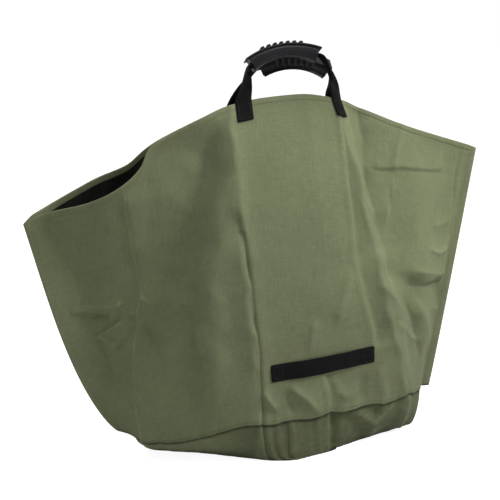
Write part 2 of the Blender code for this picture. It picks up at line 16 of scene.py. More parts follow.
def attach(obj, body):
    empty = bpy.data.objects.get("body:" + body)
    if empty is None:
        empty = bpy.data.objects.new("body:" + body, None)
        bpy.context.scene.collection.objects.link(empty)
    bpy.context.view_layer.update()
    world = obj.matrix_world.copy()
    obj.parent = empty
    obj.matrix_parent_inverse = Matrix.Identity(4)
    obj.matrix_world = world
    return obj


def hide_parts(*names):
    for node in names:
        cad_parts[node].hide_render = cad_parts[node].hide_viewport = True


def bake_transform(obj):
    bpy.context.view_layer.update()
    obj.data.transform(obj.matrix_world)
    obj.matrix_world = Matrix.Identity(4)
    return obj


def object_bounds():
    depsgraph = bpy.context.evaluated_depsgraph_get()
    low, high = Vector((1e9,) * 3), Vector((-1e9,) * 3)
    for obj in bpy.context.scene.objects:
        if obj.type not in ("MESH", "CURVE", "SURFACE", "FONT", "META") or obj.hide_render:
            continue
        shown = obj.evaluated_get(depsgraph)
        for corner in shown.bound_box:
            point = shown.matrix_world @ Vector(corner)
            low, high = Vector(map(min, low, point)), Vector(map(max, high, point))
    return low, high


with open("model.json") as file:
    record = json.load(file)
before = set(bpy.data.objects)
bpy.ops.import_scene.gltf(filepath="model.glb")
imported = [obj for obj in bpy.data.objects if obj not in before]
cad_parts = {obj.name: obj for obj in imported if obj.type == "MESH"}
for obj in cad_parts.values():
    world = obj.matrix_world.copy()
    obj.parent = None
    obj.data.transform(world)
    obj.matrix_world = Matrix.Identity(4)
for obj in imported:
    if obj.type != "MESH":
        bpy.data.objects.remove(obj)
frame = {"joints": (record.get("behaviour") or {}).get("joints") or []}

bl_info = {
    "name": "Leaf Bag",
    "version": (1, 0, 0),
    "blender": (4, 5, 0),
    "location": "3D View > Sidebar > Leaf Bag",
    "description": "Builds a canvas leaf bag with webbing handles on a pale floor",
    "category": "Add Mesh",
}

MM = 0.001
CAD_BOX = [list(corner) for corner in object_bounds()]

# Overall sizes, as in the frame's own part
BAG_LENGTH = 795.0
RIM_HEIGHT = 606.0
BASE_DEPTH = 244.0
BAG_SHIFT = np.array((0.0, 1.83, 0.83))

# Cloth and hem: the outer face swells over the folded hem, and the hem's inner face ends in a step
CLOTH = 1.5
CONTACT_GAP = 0.3
WALL_NEAREST = (CLOTH + CONTACT_GAP) / 2
HEM_STITCH_DROP = 8.0
HEM_BAND = 11.0
HEM_FOLD = 1.2
HEM_FOLD_STEP = 0.35
HEM_SWELL = 0.45
HEM_SWELL_EASE = 2.0
HEM_GROOVE = 0.25
GROOVE_WIDTH = 1.1

# Seams: side allowance, base lap behind the walls, rolled lower edge and its row of stitches
SEAM_ALLOWANCE = 14.0
SEAM_INSET = SEAM_ALLOWANCE / BAG_LENGTH
BASE_LAP = 9.0
LAP_GAP = 0.4
SEAM_STITCH_RISE = 5.0
SEAM_GROOVE = 0.55
SEAM_ROLL = 0.9
SEAM_ROLL_RISE = 1.6
SEAM_ROLL_WIDTH = 2.2

# A wall's side edges: share of the cloth's thickness left there and then, in shares of the wall's width,
# how far in it is full, how far in the hem and the rolled edge are full, where folds start, over how much
# they come in, and how much the mesh's columns crowd there
EDGE_THICKNESS = 0.35
EDGE_THIN_REACH = 0.006
EDGE_FLAT_REACH = 0.02
EDGE_FOLD_START = 0.012
EDGE_FOLD_EASE = 0.035
EDGE_CROWDING = 0.0063

# Angles, in degrees, of the rows that round the ends of a sheet or strip
ROUNDING_ANGLES = (35, 65, 85)

# Webbing: its size, the share of its thickness left at its edges, how late it thins toward them
WEBBING_WIDTH = 30.0
WEBBING_THICKNESS = 2.0
WEBBING_EDGE = 0.25
WEBBING_EDGE_POWER = 6

# Sewn tabs: length below the rim, rise above it, place along the mouth in shares of its length
TAB_LENGTH = 33.0
TAB_RISE = 2.0
TAB_STITCH_INSET = 4.5
FOOT_GAP = 0.5
FRONT_TAB_SHARES = (-0.0455, 0.163)
BACK_TAB_SHARES = (-0.036, 0.184)

# Heights over the cloth's middle of the webbing's own middle and of its outer face
WEBBING_LIFT = CLOTH / 2 + CONTACT_GAP + WEBBING_THICKNESS / 2
WEBBING_FACE = CLOTH / 2 + CONTACT_GAP + WEBBING_THICKNESS

# Handle loops, measured from the hinge line
GRIP_LENGTH = 112.0
GRIP_RISE = 13.0
LEG_START_PULL = 0.30
LEG_END_PULL = 0.16
FRONT_POSE = {"height": 66.5, "lean": 6.0, "roll": 18.0, "tilt": 6.2, "shift": 0.8, "turn": -10.0}
BACK_POSE = {"height": 78.8, "lean": 24.0, "roll": 16.0, "tilt": -3.6, "shift": 23.9, "turn": -8.0}

# How the legs cup across their width: half angle and least angle in radians, and the shares of a leg
# where the cup starts, over which it grows, over which it fades at the grip, and where the tab's shape ends
LEG_CUP = 1.25
LEAST_CUP = 0.01
CUP_START = 0.08
CUP_GROWTH = 0.35
CUP_FADE = 0.15
TAB_SHAPE_END = 0.25

# Moulded grips: slotted body, lipped plate on top, flange along the inner lower edge
GRIP_WALL = 2.5
GRIP_HEIGHT = 18.0
GRIP_FLARE = 5.0
GRIP_CORNER = 7.0
SLOT_ROUNDNESS = 0.9
PLATE_OVERHANG = 3.0
PLATE_THICKNESS = 3.0
PLATE_LIP = 1.0
PLATE_CORNER = 1.2
FLANGE_REACH = 1.5
FLANGE_RISE = 0.4
FLANGE_HEIGHT = 3.0
FLANGE_INSET = 4.0

# Ribs over the top of a grip and down its inner side: how they are spaced and how far they stand out,
# how deep they root in the body, corners of their top and inner parts, how much their ends narrow
RIB_COUNT = 7
RIB_PITCH = 9.7
RIB_THICKNESS = 6.2
RIB_HEIGHT = 5.0
RIB_STAND = 1.5
RIB_DROP = 6.0
RIB_SINK = 1.5
RIB_ROOT = 2.0
RIB_OUTER_SHARE = 0.55
RIB_SHOULDER = 0.6
RIB_CORNERS = (2.2, 1.8)
RIB_TAPER = 0.25

# Pull strap on the front wall
STRAP_LENGTH = 186.0
STRAP_CENTRE = (82.7, 162.4)
STRAP_TILT = 4.6
STRAP_END = 24.0
STRAP_SLACK = 2.5
STRAP_SLACK_EASE = 30.0

# How often the kinks in webbing are eased out
HANDLE_EASING = 3
STRAP_EASING = 12

# Outlines of the mouth and of the seam between walls and base: share of length, share of rim height
FRONT_RIM = (
    (-0.500, 0.670), (-0.475, 0.687), (-0.377, 0.728), (-0.296, 0.788), (-0.265, 0.829),
    (-0.248, 0.876), (-0.216, 0.904), (-0.142, 0.949), (-0.082, 0.977), (0.000, 0.995),
    (0.082, 1.000), (0.151, 0.987), (0.224, 0.950), (0.317, 0.899), (0.500, 0.818),
)
BACK_RIM = (
    (-0.500, 0.670), (-0.475, 0.697), (-0.348, 0.759), (-0.266, 0.797), (-0.226, 0.840),
    (-0.193, 0.868), (-0.082, 0.932), (0.000, 0.952), (0.082, 0.959), (0.160, 0.948),
    (0.317, 0.861), (0.500, 0.818),
)
BASE_SEAM = (
    (-0.306, 0.060), (-0.226, 0.052), (-0.158, 0.074), (-0.045, 0.115), (0.100, 0.117),
    (0.260, 0.126), (0.402, 0.117),
)

# Columns across a wall, left to right: share of length at the rim, share of length at the seam
COLUMNS = (
    (-0.300, -0.255), (-0.142, -0.145), (-0.075, -0.045), (0.082, 0.090),
    (0.157, 0.318), (0.191, 0.342), (0.320, 0.368),
)
LEFT_EDGE = (-0.500, -0.306)
RIGHT_EDGE = (0.500, 0.402)
LEFT_EDGE_BOW = 0.033
RIGHT_EDGE_BOW = 0.002
EDGE_BOW_POWER = 0.6

# How far each column stands from the middle plane, in shares of half the base depth, seam to rim
FRONT_SWELL = (
    (0.37, 0.80, 0.98, 0.97, 0.50, 0.40, 0.20),
    (0.30, 0.84, 0.99, 1.00, 0.84, 0.68, 0.48),
    (0.33, 0.69, 0.81, 0.80, 0.66, 0.42, 0.34),
    (0.52, 0.46, 0.37, 0.29, 0.285, 0.085, 0.080),
)
BACK_SWELL = (
    (0.41, 0.80, 0.98, 0.97, 0.50, 0.42, 0.26),
    (0.55, 0.84, 0.98, 1.00, 0.80, 0.72, 0.50),
    (0.60, 0.74, 0.80, 0.80, 0.60, 0.52, 0.36),
    (0.52, 0.42, 0.33, 0.29, 0.26, 0.23, 0.15),
)

# Base panel rings below the seam: share of length, how far the ends narrow, share of seam height
BASE_RINGS = (
    (0.985, 0.15, 0.60), (0.945, 0.55, 0.22), (0.895, 0.94, 0.03), (0.845, 1.02, 0.0), (0.600, 1.10, 0.0),
)
BASE_CENTRE_SHARE = 0.190
BASE_TAPER_CENTRE = 0.035
BASE_TAPER_REACH = (0.30, 0.36)
BASE_TAPER_MOST = 0.85
BASE_TAPER_POWER = 1.4
BASE_ENDS = (0.0716, 0.965)

# Where the sewn seam jogs up or down between the puckers of the front: x, rise
SEAM_JOGS = (
    (-243, 0.0), (-211, -7.0), (-182, 0.0), (-141, -1.8), (-62, -2.1), (-36, -2.6), (-4, -6.0), (13, -2.9),
    (37, -2.0), (60, -3.4), (78, -1.0), (97, 3.6), (106, -0.5), (132, -4.0), (172, -2.4), (190, -2.8),
    (203, -6.0), (225, -5.0), (243, 0.5), (254, 4.0), (275, 0.0), (320, 0.0),
)

# The set crease down the front's left side, below where it leaves the rim, as x and z
LEFT_CREASE = (
    (-237, 424), (-228, 373), (-219, 323), (-213, 283), (-221, 255), (-221, 232), (-226, 197), (-228, 149),
    (-223, 102), (-208, 10),
)

# Folds of the front wall: kind, height, width, wear, then the line it follows as x and z
FRONT_FOLDS = (
    ("crease", 5.0, 12.0, 0.1, ((-62, 640), (-60, 503), (-57, 451), (-52, 379), (-50, 297), (-45, 249),
        (-40, 190), (-31, 132), (-35, 40))),
    ("tuck", 3.0, 3.5, 0.0, ((-58, 430), (-52, 370), (-46, 310), (-41, 260), (-35, 210), (-32, 160),
        (-28, 110), (-30, 30))),
    ("crease", -5.5, 3.0, 0.0, ((-54, 400), (-49, 350), (-43, 300), (-38, 250), (-32, 200), (-29, 150),
        (-25, 100), (-27, 30))),
    ("tuck", -21.0, 21.0, 0.0, ((-124, 70), (-130, 139), (-137, 226), (-134, 313), (-116, 400), (-92, 488),
        (-80, 580))),
    ("press", 0.5, 2.6, 1.0, ((-248, 500),) + LEFT_CREASE),
    ("tuck", 4.5, 13.0, 0.0, ((-247, 470),) + LEFT_CREASE),
    ("crease", 6.5, 4.5, 0.4, ((-236, 250), (-213, 283), (-200, 262))),
    ("crease", 7.0, 4.5, 0.4, ((-330, 250), (-290, 259), (-262, 262), (-238, 270))),
    ("crease", -6.5, 5.5, 0.0, ((-326, 238), (-290, 246), (-258, 246))),
    ("crease", 6.0, 4.0, 0.4, ((-290, 204), (-262, 222), (-238, 240))),
    ("tuck", 7.0, 4.0, 0.4, ((-262, 186), (-240, 214), (-220, 244))),
    ("ridge", -7.0, 20.0, 0.0, ((-283, 240), (-272, 190), (-263, 135), (-257, 80))),
    ("ridge", 4.0, 20.0, 0.0, ((-310, 215), (-300, 170), (-285, 120))),
    ("crease", -8.0, 13.0, 0.0, ((-212, 262), (-196, 214), (-190, 170), (-200, 120))),
    ("crease", 3.5, 7.0, 0.4, ((-228, 84), (-211, 112), (-198, 136))),
    ("ridge", 1.2, 5.0, 0.6, ((-169, 278), (-160, 250))),
    ("tuck", -6.5, 5.0, 0.0, ((135, 640), (135, 495), (136, 456), (140, 409), (144, 339), (158, 271),
        (172, 226), (184, 175))),
    ("crease", 6.0, 10.0, 0.2, ((150, 640), (154, 502), (165, 404), (182, 337), (198, 251), (222, 183),
        (252, 60))),
    ("crease", -6.0, 12.0, 0.0, ((176, 640), (180, 480), (192, 404), (206, 337), (222, 270))),
    ("crease", 4.0, 7.0, 0.3, ((258, 600), (254, 539), (235, 479), (225, 421), (205, 347), (192, 300))),
    ("crease", -4.5, 8.0, 0.0, ((236, 479), (225, 421), (205, 347), (192, 300))),
    ("tuck", 3.0, 4.0, 0.5, ((192, 478), (230, 473), (248, 472), (335, 462))),
    ("crease", 4.0, 7.0, 0.4, ((250, 302), (318, 278), (355, 276))),
    ("tuck", 14.0, 18.0, 0.0, ((212, 306), (250, 298), (290, 274), (372, 262))),
    ("crease", 7.0, 14.0, 0.0, ((262, 262), (292, 200), (318, 130))),
    ("crease", -7.0, 12.0, 0.0, ((232, 270), (262, 206), (290, 120))),
    ("crease", 5.0, 7.0, 0.2, ((296, 226), (322, 214), (346, 218))),
    ("crease", -3.5, 7.0, 0.0, ((240, 280), (290, 268), (340, 262))),
    ("crease", 4.0, 6.0, 0.2, ((290, 330), (318, 316), (352, 325))),
    ("crease", 4.0, 6.0, 0.3, ((372, 395), (340, 372), (300, 366))),
    ("tuck", 3.5, 4.0, 0.6, ((378, 505), (372, 489), (358, 430), (358, 334), (350, 244), (338, 160))),
    ("crease", 6.0, 9.0, 0.3, ((214, 222), (250, 192), (286, 165))),
    ("crease", 5.0, 8.0, 0.0, ((178, 296), (216, 260), (246, 194))),
    ("tuck", -7.5, 5.0, 0.0, ((84, 150), (90, 135), (97, 107), (99, 40))),
    ("crease", 5.0, 6.0, 0.5, ((104, 140), (112, 110), (140, 92))),
    ("crease", 6.0, 7.0, 0.5, ((20, 134), (56, 103), (80, 76))),
    ("crease", 5.0, 6.0, 0.5, ((-30, 136), (-14, 108), (2, 84))),
    ("crease", -5.0, 8.0, 0.0, ((10, 130), (22, 100), (30, 74))),
    ("crease", -5.0, 9.0, 0.0, ((150, 150), (160, 110), (170, 60))),
    ("crease", 5.0, 7.0, 0.2, ((184, 150), (196, 110), (206, 60))),
    ("crease", 4.0, 8.0, 0.0, ((66, 250), (60, 210), (52, 180))),
    ("crease", 4.0, 9.0, 0.0, ((128, 330), (112, 262), (106, 220))),
)

# Folds of the back wall
BACK_FOLDS = (
    ("crease", 4.5, 12.0, 0.6, ((-58, 620), (-55, 430), (-46, 260), (-38, 40))),
    ("tuck", 2.5, 7.0, 0.2, ((-52, 360), (-46, 260), (-40, 160), (-36, 40))),
    ("ridge", -6.0, 30.0, 0.0, ((-84, 600), (-112, 400), (-126, 250))),
    ("press", 1.4, 4.0, 1.0, ((-238, 520), (-226, 380), (-218, 250), (-224, 20))),
    ("tuck", 2.4, 12.0, 0.0, ((-236, 480), (-226, 380), (-218, 250), (-222, 20))),
    ("crease", 2.4, 8.0, 0.4, ((-330, 262), (-280, 270), (-222, 250))),
    ("ridge", -5.0, 22.0, 0.0, ((-280, 230), (-266, 150), (-252, 70))),
    ("crease", 4.0, 12.0, 0.6, ((148, 620), (152, 480), (170, 330), (196, 200), (226, 40))),
    ("ridge", -4.0, 16.0, 0.0, ((178, 620), (186, 440), (208, 300))),
    ("press", 1.5, 4.0, 1.0, ((262, 600), (240, 470), (226, 330), (232, 180))),
    ("tuck", 1.8, 6.0, 0.7, ((180, 452), (250, 462), (340, 448))),
    ("crease", 3.0, 9.0, 0.4, ((232, 250), (280, 236), (338, 252))),
    ("ridge", 3.0, 14.0, 0.1, ((60, 330), (76, 220), (70, 120))),
    ("crease", 2.6, 8.0, 0.4, ((0, 150), (24, 110), (40, 70))),
    ("crease", 2.6, 8.0, 0.4, ((118, 140), (140, 104), (150, 70))),
)

# Folds of the base band below the front seam, and below the back seam
FRONT_BASE_FOLDS = (
    ("tuck", 4.5, 6.0, 0.3, ((-33, 90), (-32, 30), (-25, -12))),
    ("tuck", 4.5, 3.0, 0.5, ((17, 90), (26, 49), (28, -12))),
    ("tuck", -7.5, 3.5, 0.4, ((99, 90), (103, 32), (101, -12))),
    ("crease", 5.5, 7.0, 0.6, ((254, 90), (256, -12))),
    ("crease", 6.0, 6.0, 0.6, ((150, 70), (189, 37), (232, 72))),
    ("crease", 5.0, 6.0, 0.5, ((189, 37), (196, 4))),
    ("crease", -4.5, 7.0, 0.0, ((205, 76), (192, 52), (180, 74))),
    ("crease", -4.0, 8.0, 0.0, ((130, 70), (146, 40), (168, 12))),
)
BACK_BASE_FOLDS = (
    ("crease", 3.5, 8.0, 0.4, ((-38, 90), (-34, -12))),
    ("tuck", 3.0, 6.0, 0.5, ((40, 90), (44, -12))),
    ("tuck", 3.0, 6.0, 0.5, ((152, 90), (148, -12))),
    ("crease", 3.5, 9.0, 0.6, ((226, 90), (232, -12))),
)

# How a fold varies along its line: share of its width that it wanders, widths over which its ends fade,
# and how much its height changes, as a share; folds over 5 mm keep to that much in millimetres
FOLD_WANDER = 0.35
FOLD_FADE = 3.0
FOLD_CHANGE = 0.4
FULL_CHANGE_HEIGHT = 5.0
WANDER_CELL = 31.0
CHANGE_CELL = 26.0
WANDER_SEED = 50
CHANGE_SEED = 90

# Across a fold, in widths: roundness of a crease's top, and a tuck's steepness, reach and side groove
CREASE_ROUND = 0.25
TUCK_STEEPNESS = 1.8
TUCK_REACH = 5.0
TUCK_GROOVE = 0.25
TUCK_GROOVE_OFFSET = 1.2

# Where cloth is rubbed pale: width along a fold, as a share of its width and in millimetres, and the rim
RUB_SHARE = 0.3
RUB_WIDTH = 0.8
RIM_WEAR = 0.5
RIM_WEAR_REACH = 1.5

# Gentle unevenness of the cloth: size of the lumps, their height, seed
CLOTH_LUMPS = ((105.0, 1.8, 11), (46.0, 0.6, 12), (19.0, 0.15, 13))
LUMP_SLANT = 0.37
HEM_STIFFNESS = 0.45
HEM_STIFF_REACH = 20.0

# Puckers along the gathered base seam
PUCKER_PITCH = 21.0
PUCKER_SWING = 5.0
PUCKER_CELLS = (47.0, 38.0)
PUCKER_SEED = 7
PUCKER_HEIGHT = 0.8
BASE_PUCKER_HEIGHT = 0.1
PUCKER_REACH = 22.0

# Painted shade on the base, less toward its left where it turns lighter, and a painted shadow fading up the
# walls from the seam
BASE_PAINTED_SHADE = 0.62
BASE_SHADE_RAMP_X = (-150.0, -10.0)
BASE_SHADE_LEFT_SHARE = -0.25
SEAM_PAINTED_SHADOW = 2.4
SEAM_SHADOW_REACH = 1.6

# Where the base's folds fade out: near the ground, near the seam, by the middle plane
GROUND_FLAT = 14.0
SEAM_FLAT = 0.05
MIDDLE_FLAT = 2.0
MIDDLE_BLEND = 24.0
FLOOR_CLEAR = 0.05

# How finely each piece is divided; rows by the seam and by the rim are in millimetres from them
FRONT_COLUMNS = 420
FRONT_ROWS = 260
BACK_COLUMNS = 240
BACK_ROWS = 150
BASE_COLUMNS = 560
BASE_FRONT_SHARE = 0.6
BASE_ROWS = 64
FLOOR_RINGS = (0.8, 0.6, 0.4, 0.22, 0.08, 0.01)
ROWS_BY_SEAM = (0.0, 1.2, 2.6, 4.0, 5.0, 6.0, 7.5, 9.5, 12.0, 15.5)
ROWS_BY_RIM = (18.0, 14.5, 12.2, HEM_BAND + 0.4, HEM_BAND, 9.6, 8.6, HEM_STITCH_DROP, 7.4, 6.4, 5.0, 3.4, 1.8,
               0.6, 0.0)
WEBBING_COLUMNS = 13
STRAP_ROWS = 60
TAB_ROWS = 22
LEG_ROWS = 34
GRIP_ROWS = 40
INSIDE_SHARE = 0.9
BOX_STEPS = 9
PROBE_STEP = 0.002

# Stitches: places along one with its thickness there, how its ends sink in, steps of its thread's map
STITCH_LENGTH = 3.3
STITCH_GAP = 1.0
STITCH_RADIUS = 0.42
STITCH_SIDES = 6
STITCH_STATIONS = np.array((-0.5, -0.38, 0.0, 0.38, 0.5))
STITCH_SWELLING = np.array((0.25, 0.8, 1.0, 0.8, 0.25))
STITCH_STAND = 0.35
STITCH_DIP = 0.55
STITCH_DIP_POWER = 4
STITCH_MAP = (0.4, 0.8)

# Rows of stitches: reach along a seam and up a side in shares, and how deep they lie in the cloth
SEAM_SPREAD = (0.02, 0.98)
SEAM_SAMPLES = 500
SIDE_SPREAD = (0.02, 0.975)
SIDE_SAMPLES = 300
SIDE_STITCH_SHARE = 0.7
HEM_STITCH_SINK = 0.1
SEAM_STITCH_SINK = 0.3

# Textures on the cloth: slubs to a millimetre and how they are drawn out, and sizes in millimetres
SLUB_SCALE = 0.62
SLUB_STRETCH = 0.06
WEBBING_COLUMN = 3.75
WEBBING_RIB = 1.7
WEBBING_SLANT = 0.55
THREAD_TWIST = 0.7

# Lamps, in metres: name, place, what it faces, size, colour
LAMPS = (
    ("key", (1.3, -0.75, 1.5), (0.05, 0.0, 0.38), 0.5, (1.0, 0.99, 0.97)),
    ("back", (-1.4, 2.6, 2.2), (0.0, 0.0, 0.3), 1.5, (1.0, 1.0, 0.99)),
    ("top", (0.0, -0.6, 4.0), (0.0, 0.0, 0.3), 1.5, (1.0, 1.0, 0.99)),
    ("fill", (-2.6, -2.4, 1.2), (0.0, 0.0, 0.3), 1.5, (0.97, 0.98, 1.0)),
)

# How white the camera sees the floor, how much of that hides the floor's own light and shadow, and the
# floor's reach in metres
FLOOR_GLOW = 1.85
FLOOR_GLOW_SHARE = 0.5
FLOOR_REACH = 40.0
WHITE = (1.0, 1.0, 1.0, 1.0)

# Camera: the bag is seen turned by CAMERA_TURN from slightly above
CAMERA_TURN = 16.0
CAMERA_RISE = 13.0
CAMERA_DISTANCE = 3000.0
CAMERA_TARGET = (-12.5, 0.0, 340.0)
VIEW_WIDTH = 850.0
SENSOR = 36.0
CAMERA_SIGHT = 100.0


# Settings a user would change

def colour_setting(name, description, default):
    return FloatVectorProperty(name=name, description=description, subtype="COLOR", size=3, min=0.0, max=1.0,
                               default=default)


def power_setting(name, description, default):
    return FloatProperty(name=name, description=description, subtype="POWER", unit="POWER", min=0.0,
                         default=default)


class BagClothSettings(bpy.types.PropertyGroup):
    canvas: colour_setting("Canvas", "Colour of the canvas outside", (0.172, 0.196, 0.106))
    canvas_light: colour_setting(
        "Rubbed Canvas", "Colour of canvas rubbed pale along folds", (0.245, 0.270, 0.165))
    lining: colour_setting("Lining", "Colour of the coated inside", (0.012, 0.013, 0.010))
    thread: colour_setting("Thread", "Colour of the canvas thread", (0.120, 0.136, 0.080))
    fold_strength: FloatProperty(
        name="Fold Strength", description="How deep the folds are", min=0.0, max=2.0, default=1.0)
    weave_pitch: FloatProperty(
        name="Weave Pitch", description="Distance between yarns in millimetres",
        min=0.4, max=4.0, default=1.1)


class BagHandleSettings(bpy.types.PropertyGroup):
    webbing: colour_setting("Webbing", "Colour of handles and pull strap", (0.0058, 0.0056, 0.0060))
    grip: colour_setting("Grip", "Colour of the moulded grips", (0.0135, 0.0125, 0.0155))
    voxel: FloatProperty(
        name="Grip Detail", description="Smallest detail of the moulded grips", subtype="DISTANCE",
        unit="LENGTH", min=0.0004, max=0.003, default=0.0007)
    smoothing: IntProperty(
        name="Grip Smoothing", description="How often the moulded edges are rounded",
        min=0, max=30, default=5)


class BagStageSettings(bpy.types.PropertyGroup):
    key_power: power_setting("Key Power", "Power of the soft lamp close by on the right", 28.5)
    top_power: power_setting("Top Power", "Power of the soft lamp high above", 62.0)
    back_power: power_setting("Back Power", "Power of the soft lamp behind the bag", 55.0)
    fill_power: power_setting("Fill Power", "Power of the soft lamp on the left", 8.0)
    ambient: FloatProperty(
        name="Ambient", description="Strength of the even light from all round",
        min=0.0, max=3.0, default=0.27)
    floor: colour_setting("Floor", "Colour of the floor", (0.62, 0.62, 0.62))


# Smooth curves, noise and lines

def smooth(t):
    """Eases from 0 to 1."""
    t = np.clip(t, 0.0, 1.0)
    return t * t * (3 - 2 * t)


def hump(distance, width):
    """Rounded bump, 1 at no distance and fading within a few widths."""
    return np.exp(-(distance / width) ** 2)


def curve(places, values, x):
    """Smooth curve through values at places, never swinging past them; values may hold a row per place."""
    places = np.asarray(places, float)
    values = np.asarray(values, float)
    steps = np.diff(values, axis=0) / np.diff(places).reshape((-1,) + (1,) * (values.ndim - 1))
    same_way = steps[:-1] * steps[1:] > 0
    total = np.where(same_way, steps[:-1] + steps[1:], 1.0)
    inner = np.where(same_way, 2 * steps[:-1] * steps[1:] / total, 0.0)
    slopes = np.concatenate((steps[:1], inner, steps[-1:]))
    i = np.clip(np.searchsorted(places, x) - 1, 0, len(places) - 2)
    pick, after = (i, i + 1) if values.ndim == 1 else ((i, np.arange(i.size)), (i + 1, np.arange(i.size)))
    width = places[i + 1] - places[i]
    off = (x - places[i]) / width
    t = np.clip(off, 0.0, 1.0)
    rise = values[pick] * (1 + 2 * t) * (1 - t) ** 2 + values[after] * t * t * (3 - 2 * t)
    lean = width * (slopes[pick] * t * (1 - t) ** 2 - slopes[after] * t * t * (1 - t))
    before = np.minimum(off, 0.0) * width * slopes[pick]
    beyond = np.maximum(off - 1.0, 0.0) * width * slopes[after]
    return rise + lean + before + beyond


def table_curve(table, x):
    return curve([row[0] for row in table], [row[1] for row in table], x)


def soft_noise(u, v, seed):
    """Smooth heights from -1 to 1 that change about once every unit."""
    size = 64
    grid = np.random.default_rng(seed).uniform(-1.0, 1.0, (size, size))
    i, j = np.floor(u).astype(int), np.floor(v).astype(int)
    s, t = smooth(u - i), smooth(v - j)
    low = grid[i % size, j % size] * (1 - s) + grid[(i + 1) % size, j % size] * s
    high = grid[i % size, (j + 1) % size] * (1 - s) + grid[(i + 1) % size, (j + 1) % size] * s
    return low * (1 - t) + high * t


def distance_to_line(line, x, z):
    """Distance to a line (positive on its left), distance along it, and its length."""
    line = np.asarray(line, float)
    best = np.full(x.shape, np.inf)
    signed = np.zeros(x.shape)
    along = np.zeros(x.shape)
    done = 0.0
    for start, end in zip(line, line[1:]):
        step = end - start
        length = np.hypot(*step)
        off_x, off_z = x - start[0], z - start[1]
        t = np.clip((off_x * step[0] + off_z * step[1]) / length ** 2, 0.0, 1.0)
        distance = np.hypot(off_x - t * step[0], off_z - t * step[1])
        nearer = distance < best
        side = np.where(step[0] * off_z - step[1] * off_x < 0.0, -1.0, 1.0)
        best = np.where(nearer, distance, best)
        signed = np.where(nearer, distance * side, signed)
        along = np.where(nearer, done + t * length, along)
        done += length
    return signed, along, done


def fold_profile(kind, q):
    """Height across a fold, q widths from its line."""
    if kind == "ridge":
        return hump(q, 1.0)
    if kind == "crease":
        return np.exp(CREASE_ROUND - np.sqrt(q * q + CREASE_ROUND ** 2))
    if kind == "press":
        return (1 - 2 * q * q) * hump(q, 1.0)
    step = 0.5 + 0.5 * np.tanh(TUCK_STEEPNESS * q)
    fading = np.exp(-np.maximum(q, 0.0) / TUCK_REACH)
    return step * fading - TUCK_GROOVE * hump(q + TUCK_GROOVE_OFFSET, 1.0)


def relief(folds, x, z, strength):
    """Height of the folds and lumps at x and z, and how rubbed the cloth is there."""
    height = np.zeros(x.shape)
    wear = np.zeros(x.shape)
    for number, (kind, high, width, rubbed, line) in enumerate(folds):
        wander = FOLD_WANDER * width * soft_noise(x / WANDER_CELL, z / WANDER_CELL, WANDER_SEED + number)
        signed, along, length = distance_to_line(line, x, z)
        off = signed + wander
        ends = smooth(along / (FOLD_FADE * width)) * smooth((length - along) / (FOLD_FADE * width))
        change = FOLD_CHANGE / max(1.0, abs(high) / FULL_CHANGE_HEIGHT)
        uneven = 1 + change * soft_noise(along / CHANGE_CELL, np.zeros(x.shape), CHANGE_SEED + number)
        height += high * uneven * ends * fold_profile(kind, off / width)
        wear = np.maximum(wear, rubbed * uneven * ends * hump(off, RUB_SHARE * width + RUB_WIDTH))
    for cell, high, seed in CLOTH_LUMPS:
        height += high * soft_noise(x / cell, z / cell + LUMP_SLANT * x / cell, seed)
    return height * strength, np.clip(wear, 0.0, 1.0)


# The walls: a runs from 0 at the left edge to 1 at the right, h from 0 at the seam to 1 at the rim

def column_places():
    return [0.0, SEAM_INSET] + [rim - LEFT_EDGE[0] for rim, seam in COLUMNS] + [1.0 - SEAM_INSET, 1.0]


def across(a, level):
    """Share of length at place a, at the rim (level 0) or at the seam (level 1)."""
    left, right = LEFT_EDGE[level], RIGHT_EDGE[level]
    shares = [left, left + SEAM_INSET] + [column[level] for column in COLUMNS] + [right - SEAM_INSET, right]
    return curve(column_places(), shares, a)


def swell(table, a, h):
    """Distance of a wall from the middle plane."""
    edge = [WALL_NEAREST] * 2
    rows = []
    for row in table:
        values = edge + [share * BASE_DEPTH / 2 for share in row] + edge
        rows.append(curve(column_places(), values, a))
    return curve(np.linspace(0.0, 1.0, len(table)), np.stack(rows), h)


def wall_edges(side, a):
    """Height of the seam and of the rim at place a, above the floor before the shift."""
    rim = FRONT_RIM if side < 0 else BACK_RIM
    seam_share = across(a, 1)
    low = RIM_HEIGHT * table_curve(BASE_SEAM, seam_share)
    if side < 0:
        low = low + table_curve(SEAM_JOGS, BAG_LENGTH * seam_share)
    return low, RIM_HEIGHT * table_curve(rim, across(a, 0))


def wall_points(side, a, h):
    """Places in the middle of a wall's cloth; side is -1 for the front wall and 1 for the back wall."""
    rim_share, seam_share = across(a, 0), across(a, 1)
    bow = np.sin(np.pi * np.clip(h, 0.0, 1.0) ** EDGE_BOW_POWER)
    edge_bow = RIGHT_EDGE_BOW * a ** 4 - LEFT_EDGE_BOW * (1 - a) ** 4
    x = BAG_LENGTH * (seam_share + (rim_share - seam_share) * h + edge_bow * bow)
    low, high = wall_edges(side, a)
    y = side * swell(FRONT_SWELL if side < 0 else BACK_SWELL, a, h)
    return np.stack((x, y, low + (high - low) * h), axis=-1) + BAG_SHIFT


def unit(vectors):
    return vectors / np.maximum(np.linalg.norm(vectors, axis=-1, keepdims=True), 1e-9)


def wall_normals(side, a, h):
    """Outward directions of a wall before it is creased."""
    run = wall_points(side, a + PROBE_STEP, h) - wall_points(side, a - PROBE_STEP, h)
    rise = wall_points(side, a, h + PROBE_STEP) - wall_points(side, a, h - PROBE_STEP)
    return unit(np.cross(run, rise)) * -side


def puckers(x):
    """Waves of uneven length along a gathered seam, flat in places."""
    swing_cell, flat_cell = PUCKER_CELLS
    swing = PUCKER_SWING * soft_noise(x / swing_cell, np.zeros(x.shape), PUCKER_SEED)
    waves = np.sin(2 * np.pi * x / PUCKER_PITCH + swing)
    return waves * smooth(0.5 + soft_noise(x / flat_cell, np.ones(x.shape), PUCKER_SEED + 1))


